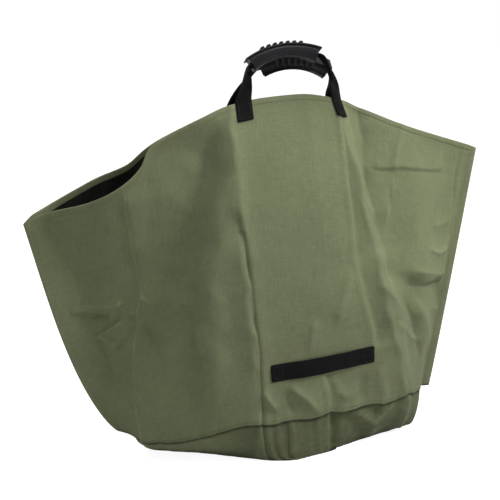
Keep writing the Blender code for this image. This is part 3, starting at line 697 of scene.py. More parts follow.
def wall_skin(side, a, h, lift=0.0):
    """Places that stand lift outside the middle of the creased cloth, with directions and wear."""
    a, h = np.broadcast_arrays(np.asarray(a, float), np.asarray(h, float))
    shape = a.shape
    a, h = a.ravel(), h.ravel()
    points = wall_points(side, a, h)
    normals = wall_normals(side, a, h)
    strength = bpy.context.scene.bag_cloth.fold_strength
    height, wear = relief(FRONT_FOLDS if side < 0 else BACK_FOLDS, points[:, 0], points[:, 2], strength)
    low, high = wall_edges(side, a)
    rise, drop = h * (high - low), (high - low) * (1 - h)
    height += PUCKER_HEIGHT * strength * puckers(points[:, 0]) * np.exp(-rise / PUCKER_REACH)
    inside = (smooth((a - EDGE_FOLD_START) / EDGE_FOLD_EASE)
              * smooth((1 - EDGE_FOLD_START - a) / EDGE_FOLD_EASE))
    settled = 1 - HEM_STIFFNESS * smooth(1 - drop / HEM_STIFF_REACH)
    points = points + normals * (height * inside * settled)[:, None]
    off_middle = side * (points[:, 1] - BAG_SHIFT[1])
    points[:, 1] = BAG_SHIFT[1] + side * np.maximum(off_middle, WALL_NEAREST)
    points = points + normals * np.reshape(lift, (-1, 1))
    return points.reshape(shape + (3,)), normals.reshape(shape + (3,)), wear.reshape(shape)


def wall_place(side, x, z):
    """The place (a, h) on a wall that lies at x and z, found by stepping toward it."""
    a, h = np.full(x.shape, 0.5), np.full(x.shape, 0.5)
    step, longest, rounds = 0.001, 0.04, 40
    for _ in range(rounds):
        point = wall_points(side, a, h)
        run = (wall_points(side, a + step, h) - point) / step
        rise = (wall_points(side, a, h + step) - point) / step
        size = run[:, 0] * rise[:, 2] - run[:, 2] * rise[:, 0]
        off_x, off_z = x - point[:, 0], z - point[:, 2]
        a = a + np.clip((off_x * rise[:, 2] - off_z * rise[:, 0]) / size, -longest, longest)
        h = h + np.clip((off_z * run[:, 0] - off_x * run[:, 2]) / size, -longest, longest)
    return a, h


# Turning grids of places into meshes

def add_object(name, data):
    made = bpy.data.objects.new(name, data)
    bpy.context.scene.collection.objects.link(made)
    return made


def make_object(name, points, faces, uvs, slots, materials, wear=None):
    """Smooth mesh object; uvs holds one place in millimetres for each corner of each face."""
    mesh = bpy.data.meshes.new(name)
    mesh.from_pydata((points * MM).tolist(), [], faces.tolist())
    mesh.polygons.foreach_set("use_smooth", [True] * len(faces))
    mesh.polygons.foreach_set("material_index", slots)
    layer = mesh.uv_layers.new(name="weave")
    layer.uv.foreach_set("vector", uvs.astype(np.float32).ravel())
    # The wear attribute holds real wear where positive and painted shade where negative; on the base's left
    # it also holds painted lightening
    if wear is not None:
        mesh.attributes.new("wear", "FLOAT", "POINT").data.foreach_set("value", wear.astype(np.float32))
    for material in materials:
        mesh.materials.append(material)
    mesh.update()
    return add_object(name, mesh)


def grid_corners(rows, columns, wrap):
    """Corners of every face of a grid, as rows and as columns; wrap joins each row's ends."""
    spans = columns if wrap else columns - 1
    i, j = np.meshgrid(np.arange(rows - 1), np.arange(spans), indexing="ij")
    i, j = i.ravel(), j.ravel()
    return np.stack((i, i, i + 1, i + 1), 1), np.stack((j, j + 1, j + 1, j), 1)


def grid_normals(points, wrap):
    """Directions square to a grid of places."""
    if wrap:
        run = np.roll(points, -1, axis=1) - np.roll(points, 1, axis=1)
    else:
        run = np.gradient(points, axis=1)
    return unit(np.cross(run, np.gradient(points, axis=0)))


def lengths(points, axis):
    """Distance along a grid's rows or columns, from the first place."""
    steps = np.linalg.norm(np.diff(points, axis=axis), axis=-1)
    start = np.zeros_like(np.take(steps, [0], axis=axis))
    return np.concatenate((start, np.cumsum(steps, axis=axis)), axis=axis)


def enclosed(points, faces):
    """Six times the volume inside closed faces; it is negative where they face inward."""
    a, b, c, d = (points[faces[:, k]] for k in range(4))
    return (a * (np.cross(b, c) + np.cross(c, d))).sum()


def shell(name, outer, inner, materials, slots=None, wear=None, wrap=False):
    """Closed sheet between an outer and an inner grid of places; slots gives each row its inner material."""
    rows, columns = outer.shape[:2]
    count = rows * columns
    r, c = grid_corners(rows, columns, wrap)
    index = r * columns + c % columns
    along = lengths(outer, 1).mean(axis=0)
    if wrap:
        along = np.append(along, along[-1] + np.linalg.norm(outer[0, 0] - outer[0, -1]))
    up = lengths(outer, 0).mean(axis=1)
    uv = np.stack((along[c], up[r]), axis=-1)
    faces = [index, count + index[:, ::-1]]
    uvs = [uv, uv[:, ::-1]]
    inner_slots = np.zeros(rows - 1, int) if slots is None else slots
    face_slots = [np.zeros(len(index), int), inner_slots[r[:, 0]]]
    spans = columns if wrap else columns - 1
    j = np.arange(spans)
    k = (j + 1) % columns
    last = (rows - 1) * columns
    edges = [np.stack((j, count + j, count + k, k), 1),
             np.stack((last + j, last + k, count + last + k, count + last + j), 1)]
    if not wrap:
        i = np.arange(rows - 1) * columns
        edges.append(np.stack((i, i + columns, count + i + columns, count + i), 1))
        right = i + columns - 1
        edges.append(np.stack((right, count + right, count + right + columns, right + columns), 1))
    for edge in edges:
        faces.append(edge)
        uvs.append(np.stack((along[edge % count % columns], up[edge % count // columns]), axis=-1))
        face_slots.append(np.zeros(len(edge), int))
    faces = np.concatenate(faces)
    uvs = np.concatenate(uvs)
    points = np.concatenate((outer.reshape(-1, 3), inner.reshape(-1, 3)))
    if enclosed(points, faces) < 0.0:
        faces, uvs = faces[:, ::-1], uvs[:, ::-1]
    wear_and_painted_light = None if wear is None else np.tile(wear.ravel(), 2)
    return make_object(name, points, faces, uvs, np.concatenate(face_slots), materials, wear_and_painted_light)


def end_rows(outer, inner, before):
    """Rows that round one end over, going outward; before is the outer row next to the last."""
    beyond = unit(outer - before)
    middle, half = (outer + inner) / 2, (outer - inner) / 2
    radius = np.linalg.norm(half, axis=-1, keepdims=True)
    added_outer, added_inner = [], []
    for angle in np.radians(ROUNDING_ANGLES):
        out = beyond * radius * np.sin(angle)
        added_outer.append(middle + half * np.cos(angle) + out)
        added_inner.append(middle - half * np.cos(angle) + out)
    return added_outer, added_inner


def rounded_ends(outer, inner):
    """The two grids with rows added that round both ends over."""
    first_outer, first_inner = end_rows(outer[0], inner[0], outer[1])
    last_outer, last_inner = end_rows(outer[-1], inner[-1], outer[-2])
    outer = np.stack(first_outer[::-1] + list(outer) + last_outer)
    inner = np.stack(first_inner[::-1] + list(inner) + last_inner)
    return outer, inner


# Shader nodes

def fill(tree, made, inputs):
    """Sets a node's sockets, named or numbered, each to a value or to another socket."""
    for key, value in inputs.items():
        if isinstance(value, bpy.types.NodeSocket):
            tree.links.new(value, made.inputs[key])
        else:
            made.inputs[key].default_value = value


def node(tree, kind, inputs, **settings):
    made = tree.nodes.new(kind)
    for key, value in settings.items():
        setattr(made, key, value)
    fill(tree, made, inputs)
    return made


def maths(tree, operation, first, second=0.0):
    return node(tree, "ShaderNodeMath", {0: first, 1: second}, operation=operation).outputs[0]


def times(tree, first, second):
    return maths(tree, "MULTIPLY", first, second)


def noise(tree, place, scale, detail=3.0, roughness=0.55):
    inputs = {"Vector": place, "Scale": scale, "Detail": detail, "Roughness": roughness}
    return node(tree, "ShaderNodeTexNoise", inputs).outputs["Fac"]


def ramp(tree, value, low, high, start=0.0, end=1.0):
    """From start at low to end at high, even between and held beyond."""
    return node(tree, "ShaderNodeMapRange", {0: value, 1: low, 2: high, 3: start, 4: end}).outputs[0]


def between(tree, value, start, end):
    """From start to end as value goes from 0 to 1."""
    return ramp(tree, value, 0.0, 1.0, start, end)


def wave(tree, value, pitch):
    return maths(tree, "SINE", times(tree, value, 2 * math.pi / pitch))


def cloth_map(tree):
    """The cloth's own map in millimetres, whole and as its two parts."""
    place = node(tree, "ShaderNodeUVMap", {}, uv_map="weave").outputs[0]
    split = node(tree, "ShaderNodeSeparateXYZ", {0: place})
    return place, split.outputs[0], split.outputs[1]


def woven(tree):
    """The cloth's map, and the height of a plain weave on it."""
    pitch = bpy.context.scene.bag_cloth.weave_pitch
    place, weft_way, warp_way = cloth_map(tree)
    return place, times(tree, wave(tree, weft_way, pitch), wave(tree, warp_way, pitch))


def slubs(tree, place, stretch):
    """Long thick and thin places in the yarns."""
    stretched = node(tree, "ShaderNodeMapping", {0: place, 3: stretch}).outputs[0]
    return noise(tree, stretched, SLUB_SCALE, roughness=0.7)


def bump(tree, height, strength, distance, below=None):
    """Fine relief; below is the relief that it lies on."""
    inputs = {"Height": height, "Strength": strength, "Distance": distance}
    if below is not None:
        inputs["Normal"] = below
    return node(tree, "ShaderNodeBump", inputs).outputs[0]


def toned(colour, share, lift=0.0):
    """The colour made lighter or darker; lift keeps it off black."""
    return tuple(min(1.0, channel * share + lift) for channel in colour)


def mixed(tree, share, first, second):
    """Colour between two, each a colour or a socket."""
    colours = [colour if isinstance(colour, bpy.types.NodeSocket) else (*colour, 1.0)
               for colour in (first, second)]
    inputs = {0: share, 6: colours[0], 7: colours[1]}
    return node(tree, "ShaderNodeMix", inputs, data_type="RGBA").outputs[2]


def new_material(name):
    """Material with its tree and its Principled node."""
    made = bpy.data.materials.new(name)
    made.use_nodes = True
    return made, made.node_tree, made.node_tree.nodes["Principled BSDF"]


# Materials

def canvas_material(name):
    """Olive cotton canvas: plain weave with slubs, mottled dye, pale rubbed folds, and painted shade and
    lightening carried by the wear attribute.
    """
    settings = bpy.context.scene.bag_cloth
    tone, pale = settings.canvas, settings.canvas_light
    made, tree, shader = new_material(name)
    place, weave = woven(tree)
    both_ways = maths(tree, "ADD", slubs(tree, place, (1.0, SLUB_STRETCH, 1.0)),
                      slubs(tree, place, (SLUB_STRETCH, 1.0, 1.0)))
    yarns = times(tree, both_ways, 0.5)
    cloudy = noise(tree, place, 0.011)
    mottle = noise(tree, place, 0.085, detail=4.0)
    rub = noise(tree, place, 0.05, detail=5.0, roughness=0.7)
    # Wear attribute: real wear where positive, painted shade where negative, and painted lightening on the
    # base's left
    wear_and_painted_light_attribute = node(tree, "ShaderNodeAttribute", {}, attribute_name="wear").outputs["Fac"]
    wear_and_painted_light = times(tree, maths(tree, "MAXIMUM", wear_and_painted_light_attribute), ramp(tree, rub, 0.34, 0.62))
    painted_shade_amount = maths(tree, "MAXIMUM", times(tree, wear_and_painted_light_attribute, -1.0))
    painted_shade = maths(tree, "MINIMUM", times(tree, painted_shade_amount, ramp(tree, mottle, -0.2, 0.6)), 1.0)
    layers = {
        "mottled dye": (times(tree, ramp(tree, mottle, 0.40, 0.75), 0.22), pale),
        "thick yarns": (times(tree, ramp(tree, yarns, 0.46, 0.62), 0.26), pale),
        "thin yarns": (times(tree, ramp(tree, yarns, 0.54, 0.40), 0.24), toned(tone, 0.66)),
        "rubbed folds": (times(tree, wear_and_painted_light, 0.55), pale),
        "gaps between yarns": (times(tree, ramp(tree, weave, -1.0, 0.2, 1.0, 0.0), 0.35), toned(tone, 0.72)),
        "painted shade": (painted_shade, toned(tone, 0.3)),
    }
    colour = mixed(tree, ramp(tree, cloudy, 0.30, 0.70), toned(tone, 0.84), tone)
    for share, laid_over in layers.values():
        colour = mixed(tree, share, colour, laid_over)
    fine = bump(tree, weave, strength=0.35, distance=0.00018)
    yarn_relief = bump(tree, yarns, strength=0.5, distance=0.00025, below=fine)
    lumps = noise(tree, place, 0.12, detail=4.0, roughness=0.6)
    fill(tree, shader, {
        "Base Color": colour,
        "Roughness": between(tree, mottle, 0.80, 0.94),
        "Specular IOR Level": 0.12,
        "Sheen Weight": 0.03,
        "Sheen Roughness": 0.6,
        "Normal": bump(tree, lumps, strength=0.35, distance=0.0012, below=yarn_relief),
    })
    return made


def lining_material(name):
    """Near-black coating on the inside of the canvas, faintly glossy, with the weave showing through."""
    tone = bpy.context.scene.bag_cloth.lining
    made, tree, shader = new_material(name)
    place, weave = woven(tree)
    cloudy = noise(tree, place, 0.03, detail=4.0)
    fill(tree, shader, {
        "Base Color": mixed(tree, ramp(tree, cloudy, 0.45, 0.8), tone, toned(tone, 2.2)),
        "Roughness": between(tree, cloudy, 0.50, 0.68),
        "Specular IOR Level": 0.3,
        "Normal": bump(tree, weave, strength=0.25, distance=0.0001),
    })
    return made


def webbing_material(name):
    """Black ribbed webbing: yarns run in narrow slanting columns, with rib tops and fuzz painted lighter as a
    highlight.
    """
    tone = bpy.context.scene.bag_handles.webbing
    made, tree, shader = new_material(name)
    place, width_way, length_way = cloth_map(tree)
    columns = maths(tree, "PINGPONG", width_way, WEBBING_COLUMN)
    slanting = maths(tree, "ADD", times(tree, columns, WEBBING_SLANT), length_way)
    ribs = wave(tree, slanting, WEBBING_RIB)
    edges = wave(tree, width_way, WEBBING_COLUMN)
    fuzz = noise(tree, place, 1.4, detail=5.0, roughness=0.7)
    # Painted highlight: rib crests and fuzz painted lighter
    lit = times(tree, ramp(tree, ribs, -0.2, 1.0), ramp(tree, fuzz, 0.35, 0.7))
    dust = times(tree, ramp(tree, noise(tree, place, 0.05), 0.5, 0.8), 0.4)
    yarns = mixed(tree, lit, tone, toned(tone, 2.0, lift=0.001))
    rib_relief = bump(tree, ribs, strength=0.8, distance=0.0004)
    fill(tree, shader, {
        "Base Color": mixed(tree, dust, yarns, toned(tone, 1.5, lift=0.001)),
        "Roughness": between(tree, fuzz, 0.52, 0.78),
        "Specular IOR Level": 0.08,
        "Sheen Weight": 0.01,
        "Normal": bump(tree, edges, strength=0.4, distance=0.0003, below=rib_relief),
    })
    return made


def grip_material(name):
    """Dark grey moulded rubber: fine grain, slightly shinier where hands polish it."""
    tone = bpy.context.scene.bag_handles.grip
    made, tree, shader = new_material(name)
    place = node(tree, "ShaderNodeTexCoord", {}).outputs["Object"]
    grain = noise(tree, place, 900.0, roughness=0.6)
    cloudy = noise(tree, place, 45.0)
    colour = mixed(tree, ramp(tree, cloudy, 0.3, 0.7), toned(tone, 0.72), tone)
    specks = times(tree, ramp(tree, grain, 0.55, 0.8), 0.4)
    fill(tree, shader, {
        "Base Color": mixed(tree, specks, colour, toned(tone, 1.5)),
        "Roughness": between(tree, cloudy, 0.34, 0.52),
        "Specular IOR Level": 0.28,
        "Normal": bump(tree, grain, strength=0.25, distance=0.00012),
    })
    return made


def thread_material(name, tone):
    """Twisted sewing thread, with the crests of its twist painted lighter as a highlight."""
    made, tree, shader = new_material(name)
    place, round_way, length_way = cloth_map(tree)
    twist = wave(tree, maths(tree, "ADD", round_way, length_way), THREAD_TWIST)
    fuzz = noise(tree, place, 2.0)
    # Painted highlight along the crests of the twist
    lit = times(tree, ramp(tree, twist, -0.5, 1.0), fuzz)
    fill(tree, shader, {
        "Base Color": mixed(tree, lit, tone, toned(tone, 1.5, lift=0.004)),
        "Roughness": between(tree, fuzz, 0.55, 0.75),
        "Normal": bump(tree, twist, strength=0.5, distance=0.0001),
    })
    return made


def olive_thread_material(name):
    return thread_material(name, bpy.context.scene.bag_cloth.thread)


def black_thread_material(name):
    return thread_material(name, bpy.context.scene.bag_handles.webbing)


FINISHES = {
    "olive_canvas": canvas_material,
    "coated_lining": lining_material,
    "black_webbing": webbing_material,
    "moulded_grip": grip_material,
    "olive_thread": olive_thread_material,
    "black_thread": black_thread_material,
}


def finish(name):
    """The finish of that name, made the first time it is asked for."""
    return bpy.data.materials.get(name) or FINISHES[name](name)


# Canvas

def wall_heights(rows, low, high):
    """Rows of a wall in shares of its height: even up its middle, close together by the seam and the rim."""
    tall = high - low
    near = np.array(ROWS_BY_SEAM)[:, None] / tall
    rim = 1 - np.array(ROWS_BY_RIM)[:, None] / tall
    even = np.linspace(0.0, 1.0, rows)[1:-1, None]
    return np.concatenate((near, near[-1] + (rim[0] - near[-1]) * even, rim))


def cloth_relief_lift(drop, rise):
    """How much the outer face stands out: rolled lower edge, grooves along the stitches, folded hem."""
    roll = SEAM_ROLL * hump(rise - SEAM_ROLL_RISE, SEAM_ROLL_WIDTH)
    seam_groove = SEAM_GROOVE * hump(rise - SEAM_STITCH_RISE, GROOVE_WIDTH)
    hem_groove = HEM_GROOVE * hump(drop - HEM_STITCH_DROP, GROOVE_WIDTH)
    hem = HEM_SWELL * smooth((HEM_STITCH_DROP - drop) / HEM_SWELL_EASE)
    return roll - seam_groove - hem_groove + hem


def add_wall(name, node_name, side, columns, rows):
    """One wall: creased canvas outside, coated inside, with the rim turned in and its edges rounded."""
    even = np.linspace(0.0, 1.0, columns)
    a = even - EDGE_CROWDING * np.sin(2 * np.pi * even)
    low, high = wall_edges(side, a)
    h = wall_heights(rows, low, high)
    a = np.broadcast_to(a, h.shape)
    middle, _, wear = wall_skin(side, a, h)
    drop, rise = (1 - h) * (high - low), h * (high - low)
    normals = grid_normals(middle, False) * -side
    off_edge = np.minimum(a, 1 - a)
    half = CLOTH / 2 * (EDGE_THICKNESS + (1 - EDGE_THICKNESS) * smooth(off_edge / EDGE_THIN_REACH))
    flat_edge = smooth(off_edge / EDGE_FLAT_REACH)
    lift = cloth_relief_lift(drop, rise) * flat_edge
    turned = HEM_FOLD * smooth((HEM_BAND - drop) / HEM_FOLD_STEP) * flat_edge
    outer = middle + normals * (half + lift)[..., None]
    inner = middle - normals * (half + turned)[..., None]
    rubbed = np.maximum(wear, RIM_WEAR * hump(drop, RIM_WEAR_REACH))
    # Real wear where positive, minus a painted shadow line just above the seam, where the wall's edge
    # overhangs the base
    wear_and_painted_light = rubbed - SEAM_PAINTED_SHADOW * np.exp(-rise / SEAM_SHADOW_REACH)
    outer, inner = rounded_ends(outer, inner)
    added = len(ROUNDING_ANGLES)
    wear_and_painted_light = np.concatenate((np.repeat(wear_and_painted_light[:1], added, 0), wear_and_painted_light, np.repeat(wear_and_painted_light[-1:], added, 0)))
    coated = drop.mean(axis=1)[:-1] > HEM_BAND - HEM_FOLD_STEP / 2
    slots = np.concatenate((np.ones(added, int), coated.astype(int), np.zeros(added, int)))
    made = shell(name, outer, inner, [finish("olive_canvas"), finish("coated_lining")], slots, wear_and_painted_light)
    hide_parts(node_name)
    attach(made, "bag")
    return made


def base_outline(height):
    """Ring just inside both walls at a height over the seam, along the front and back along the rear."""
    start, end = BASE_ENDS
    inward = -(CLOTH + LAP_GAP)
    front_count = round(BASE_COLUMNS * BASE_FRONT_SHARE)
    front = np.linspace(start, end, front_count)
    back = np.linspace(end, start, BASE_COLUMNS - front_count)
    h = height / RIM_HEIGHT
    return np.concatenate([wall_skin(side, a, h, inward)[0] for side, a in ((-1, front), (1, back))])


def base_skin():
    """Middle of the base's cloth: rows from its lap behind the walls down to the middle of its floor."""
    lap, seam = base_outline(BASE_LAP), base_outline(0.0)
    centre = BASE_CENTRE_SHARE * BAG_LENGTH
    levels = np.arange(len(BASE_RINGS) + 1)
    shapes = np.array(((1.0, 0.0, 1.0),) + BASE_RINGS)
    made = [lap, (lap + seam) / 2]
    flat = seam - BAG_SHIFT
    for level in np.linspace(0.0, levels[-1], BASE_ROWS):
        place = np.array([level])
        long_share, narrowing, height_share = (curve(levels, shapes[:, k], place)[0] for k in range(3))
        x = centre + (flat[:, 0] - centre) * long_share
        off = x / BAG_LENGTH - BASE_TAPER_CENTRE
        reach = np.where(off < 0.0, BASE_TAPER_REACH[0], BASE_TAPER_REACH[1])
        taper = 1.0 - narrowing * np.minimum(BASE_TAPER_MOST, (np.abs(off) / reach) ** BASE_TAPER_POWER)
        made.append(np.stack((x, flat[:, 1] * taper, flat[:, 2] * height_share), -1) + BAG_SHIFT)
    last = made[-1]
    middle = last.mean(axis=0)
    made += [middle + (last - middle) * share for share in FLOOR_RINGS]
    return np.stack(made)


def add_base():
    """Base panel: puckered band that turns under into a flat floor."""
    middle = base_skin()
    normals = -grid_normals(middle, True)
    strength = bpy.context.scene.bag_cloth.fold_strength
    x, y, z = middle[..., 0], middle[..., 1], middle[..., 2]
    off_middle = y - BAG_SHIFT[1]
    front, front_wear = relief(FRONT_BASE_FOLDS, x, z, strength)
    back, back_wear = relief(BACK_BASE_FOLDS, x, z, strength)
    is_front = smooth(0.5 - off_middle / MIDDLE_BLEND)
    height = front * is_front + back * (1 - is_front)
    wear = front_wear * is_front + back_wear * (1 - is_front)
    seam_z = middle[2, :, 2]
    down = seam_z - z
    waves = puckers(x.ravel()).reshape(x.shape) * np.exp(-down / PUCKER_REACH)
    height += BASE_PUCKER_HEIGHT * strength * waves
    below_seam = np.clip(down / np.maximum(seam_z, 1.0), 0.0, 1.0)
    free = (smooth(z / GROUND_FLAT) * smooth(below_seam / SEAM_FLAT)
            * smooth((np.abs(off_middle) - MIDDLE_FLAT) / MIDDLE_BLEND))
    middle = middle + normals * (height * free)[..., None]
    normals = -grid_normals(middle, True)
    outer = middle + normals * CLOTH / 2
    inner = middle - normals * CLOTH / 2
    floor = CAD_BOX[0][2] / MM + FLOOR_CLEAR
    outer[..., 2] = np.maximum(outer[..., 2], floor)
    inner[..., 2] = np.maximum(inner[..., 2], floor + CLOTH / 2)
    slots = np.ones(len(middle) - 1, int)
    # Painted shade on the base band, fading toward the left and turning to painted lightening there, plus the
    # painted shadow line by the seam
    base_shade_share = BASE_SHADE_LEFT_SHARE + (1 - BASE_SHADE_LEFT_SHARE) * smooth((x - BASE_SHADE_RAMP_X[0]) / (BASE_SHADE_RAMP_X[1] - BASE_SHADE_RAMP_X[0]))
    painted_shade = BASE_PAINTED_SHADE * base_shade_share + SEAM_PAINTED_SHADOW * np.exp(-np.maximum(down, 0.0) / SEAM_SHADOW_REACH)
    materials = [finish("olive_canvas"), finish("coated_lining")]
    made = shell("base", outer, inner, materials, slots, wear * free - painted_shade, wrap=True)
    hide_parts("base_panel")
    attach(made, "bag")
    return made


# Stitches

def stitches(name, paths, thread):
    """Single stitches along paths, each the places on it and the directions that they stand out in."""
    turns = np.linspace(0.0, 2 * np.pi, STITCH_SIDES, endpoint=False)
    rise = STITCH_RADIUS * STITCH_STAND - STITCH_DIP * np.abs(2 * STITCH_STATIONS) ** STITCH_DIP_POWER
    points, faces, uvs = [], [], []
    rows, corners = grid_corners(len(STITCH_STATIONS), STITCH_SIDES, True)
    index = rows * STITCH_SIDES + corners % STITCH_SIDES
    uv = np.stack((corners * STITCH_MAP[0], rows * STITCH_MAP[1]), axis=-1)
    caps = np.array(((0, 1, 2, 3), (0, 3, 4, 5)))
    far = (len(STITCH_STATIONS) - 1) * STITCH_SIDES
    count = 0
    for places, directions in paths:
        run = lengths(places[None], 1)[0]
        number = max(1, int(run[-1] // (STITCH_LENGTH + STITCH_GAP)))
        centres = (np.arange(number) + 0.5) * run[-1] / number
        at = centres[:, None] + STITCH_STATIONS * STITCH_LENGTH
        spot = np.stack([np.interp(at, run, places[:, k]) for k in range(3)], axis=-1)
        out = unit(np.stack([np.interp(at, run, directions[:, k]) for k in range(3)], axis=-1))
        ahead = unit(spot[:, -1] - spot[:, 0])[:, None, :]
        sideways = np.cross(out, ahead)
        spot = spot + out * rise[None, :, None]
        ring = np.cos(turns)[:, None] * sideways[:, :, None, :] + np.sin(turns)[:, None] * out[:, :, None, :]
        body = spot[:, :, None, :] + ring * (STITCH_RADIUS * STITCH_SWELLING)[None, :, None, None]
        points.append(body.reshape(-1, 3))
        for _ in range(number):
            faces += [index + count, caps[:, ::-1] + count, caps + count + far]
            uvs += [uv, np.zeros((2 * len(caps), 4, 2))]
            count += len(STITCH_STATIONS) * STITCH_SIDES
    faces = np.concatenate(faces)
    slots = np.zeros(len(faces), int)
    made = make_object(name + "_stitches", np.concatenate(points), faces, np.concatenate(uvs), slots,
                       [finish(thread)])
    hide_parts(name + "_stitching")
    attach(made, "bag")


def stitch_line(side, a, h, lift):
    """Path for stitches on a wall; a negative lift puts it on the inner face."""
    places, directions, _ = wall_skin(side, a, h, lift)
    return places, directions * math.copysign(1.0, lift)


def add_canvas_stitches():
    """Rows along both hems, along the base seam and up the side seams."""
    spread = np.linspace(*SEAM_SPREAD, SEAM_SAMPLES)
    face = CLOTH / 2
    for name, side in (("front", -1), ("back", 1)):
        low, high = wall_edges(side, spread)
        hem = 1 - HEM_STITCH_DROP / (high - low)
        lifts = (face - HEM_STITCH_SINK, -face - HEM_FOLD)
        stitches(name + "_hem", [stitch_line(side, spread, hem, lift) for lift in lifts], "olive_thread")
        seam = SEAM_STITCH_RISE / (high - low)
        stitches(name + "_base", [stitch_line(side, spread, seam, face - SEAM_STITCH_SINK)], "olive_thread")
    inset = SIDE_STITCH_SHARE * SEAM_INSET
    heights = np.linspace(*SIDE_SPREAD, SIDE_SAMPLES)
    for name, a in (("left_side", inset), ("right_side", 1.0 - inset)):
        paths = [stitch_line(side, np.full(heights.shape, a), heights, face) for side in (-1, 1)]
        stitches(name, paths, "olive_thread")


def box_path(row_at, low, high):
    """Closed path round a sewn box; row_at gives places and directions across the webbing at a distance."""
    rows = [row_at(distance) for distance in np.linspace(low, high, BOX_STEPS)]
    path = []
    for k in range(2):
        one_side = [row[k][-1] for row in rows]
        other_side = [row[k][0] for row in rows[::-1]]
        path.append(np.concatenate((one_side, rows[-1][k][::-1], other_side, rows[0][k])))
    return path


def stitch_shares():
    half = 1.0 - 2 * TAB_STITCH_INSET / WEBBING_WIDTH
    return np.linspace(-half, half, BOX_STEPS)


# Webbing

def strip(name, middle, normals):
    """Webbing of even thickness with soft edges through rows of places across it."""
    edge = np.abs(np.linspace(-1.0, 1.0, middle.shape[1])) ** WEBBING_EDGE_POWER
    half = WEBBING_THICKNESS / 2 * (WEBBING_EDGE + (1 - WEBBING_EDGE) * (1 - edge))
    stand = normals * half[None, :, None]
    outer, inner = rounded_ends(middle + stand, middle - stand)
    made = shell(name, outer, inner, [finish("black_webbing")])
    return made


def width_shares():
    return np.linspace(-1.0, 1.0, WEBBING_COLUMNS)


def relaxed(rows, times_over):
    """The rows with their kinks eased out, ends held."""
    for _ in range(times_over):
        rows[1:-1] = rows[1:-1] * 0.5 + (rows[:-2] + rows[2:]) * 0.25
    return rows


def tab_row(side, share, drop, lift, shares):
    """Places across a tab, drop below the rim; a negative drop stands above it."""
    a_mid = np.array([share - LEFT_EDGE[0]])
    rim = np.ones(1)
    run = wall_points(side, a_mid + PROBE_STEP, rim) - wall_points(side, a_mid - PROBE_STEP, rim)
    reach = WEBBING_WIDTH / 2 * 2 * PROBE_STEP / np.linalg.norm(run)
    a = a_mid + reach * shares
    h = np.full(a.shape, 1.0 - max(drop, 0.0) / RIM_HEIGHT)
    row, normals, _ = wall_skin(side, a, h, lift)
    if drop < 0.0:
        rise = wall_points(side, a_mid, rim) - wall_points(side, a_mid, rim - PROBE_STEP)
        row = row - unit(rise) * drop
    return row, normals


def add_tab_stitches(label, side, shares):
    """Sewn boxes on both tabs of a handle."""
    for place, share in zip(("left", "right"), shares):
        path = box_path(lambda drop: tab_row(side, share, drop, WEBBING_FACE, stitch_shares()),
                        TAB_STITCH_INSET, TAB_LENGTH - TAB_STITCH_INSET)
        stitches(label + "_" + place + "_tab", [path], "black_thread")


def joint_frame(name):
    """Middle of a handle's hinge and its axes: along the hinge, across it and up."""
    joint = next(item for item in frame["joints"] if item["name"] == name)
    along = Vector(joint["axis"]).normalized()
    if along.x < 0.0:
        along = -along
    depth = Vector((0.0, 0.0, 1.0)).cross(along).normalized()
    turn = Matrix((along, depth, along.cross(depth))).transposed()
    return Vector(joint["pos_m"]) / MM, turn


def grip_place(pose, share, side):
    """Middle of the webbing in the grip at a share of its length from the middle, with its frame."""
    radius = ((GRIP_LENGTH / 2) ** 2 + GRIP_RISE ** 2) / (2 * GRIP_RISE)
    angle = math.asin(share * GRIP_LENGTH / 2 / radius)
    local = Vector((radius * math.sin(angle), 0.0, radius * (math.cos(angle) - 1)))
    outward = Vector((math.sin(angle), 0.0, math.cos(angle)))
    width = Vector((0.0, 1.0, 0.0))
    tilt = Matrix.Rotation(-math.radians(pose["tilt"]), 3, "Y")
    turned = Matrix.Rotation(math.radians(pose["turn"]), 3, "Z") @ tilt
    rolled = turned @ Matrix.Rotation(math.radians(pose["roll"]) * side, 3, "X")
    leaned = Matrix.Rotation(math.radians(pose["lean"]) * side, 3, "X")
    stand = leaned @ Vector((pose["shift"], 0.0, pose["height"] + GRIP_RISE))
    return stand + rolled @ local, rolled @ outward, rolled @ width


def between_places(places, t):
    """Place on the curve from the first place, pulled toward the second and the third, to the last."""
    start, start_pull, end_pull, end = places
    rest = 1 - t
    return start * rest ** 3 + start_pull * 3 * t * rest ** 2 + end_pull * 3 * t * t * rest + end * t ** 3


def leg_rows(foot, place, grip_width, tangent_down, side):
    """Rows of webbing from a tab's top up to the grip's end."""
    centre = sum(foot, Vector()) / len(foot)
    width = (foot[-1] - foot[0]).normalized()
    if width.dot(grip_width) < 0.0:
        grip_width = -grip_width
    up = Vector((0.0, 0.0, 1.0))
    reach = (place - centre).length
    start_pull = centre + (up + (place - centre) / reach) * 0.5 * LEG_START_PULL * reach
    route = (centre, start_pull, place + tangent_down * LEG_END_PULL * reach, place)
    rows = []
    for i in range(LEG_ROWS):
        t = i / LEG_ROWS
        ease = float(smooth(t))
        width_here = (width * (1 - ease) + grip_width * ease).normalized()
        outside = up.cross(width_here).normalized() * math.copysign(1.0, -width.x * side)
        cupped = float(smooth((t - CUP_START) / CUP_GROWTH) * smooth((1 - t) / CUP_FADE))
        cup = max(LEAST_CUP, LEG_CUP * cupped)
        keep = max(0.0, 1.0 - t / TAB_SHAPE_END)
        middle = between_places(route, t)
        row = []
        for j, point in enumerate(foot):
            angle = cup * (2 * j / (len(foot) - 1) - 1)
            flat = width_here * math.sin(angle) + outside * (math.cos(angle) - math.cos(cup / 2))
            row.append(middle + (point - centre) * keep + flat * (1 - keep) * WEBBING_WIDTH / 2 / cup)
        rows.append(row)
    return rows


def grip_rows(pose, side):
    """Rows of webbing through the grip."""
    rows = []
    for share in np.linspace(-1.0, 1.0, GRIP_ROWS + 1):
        place, _, width = grip_place(pose, share, side)
        rows.append([place + width * WEBBING_WIDTH * across_share / 2 for across_share in width_shares()])
    return rows


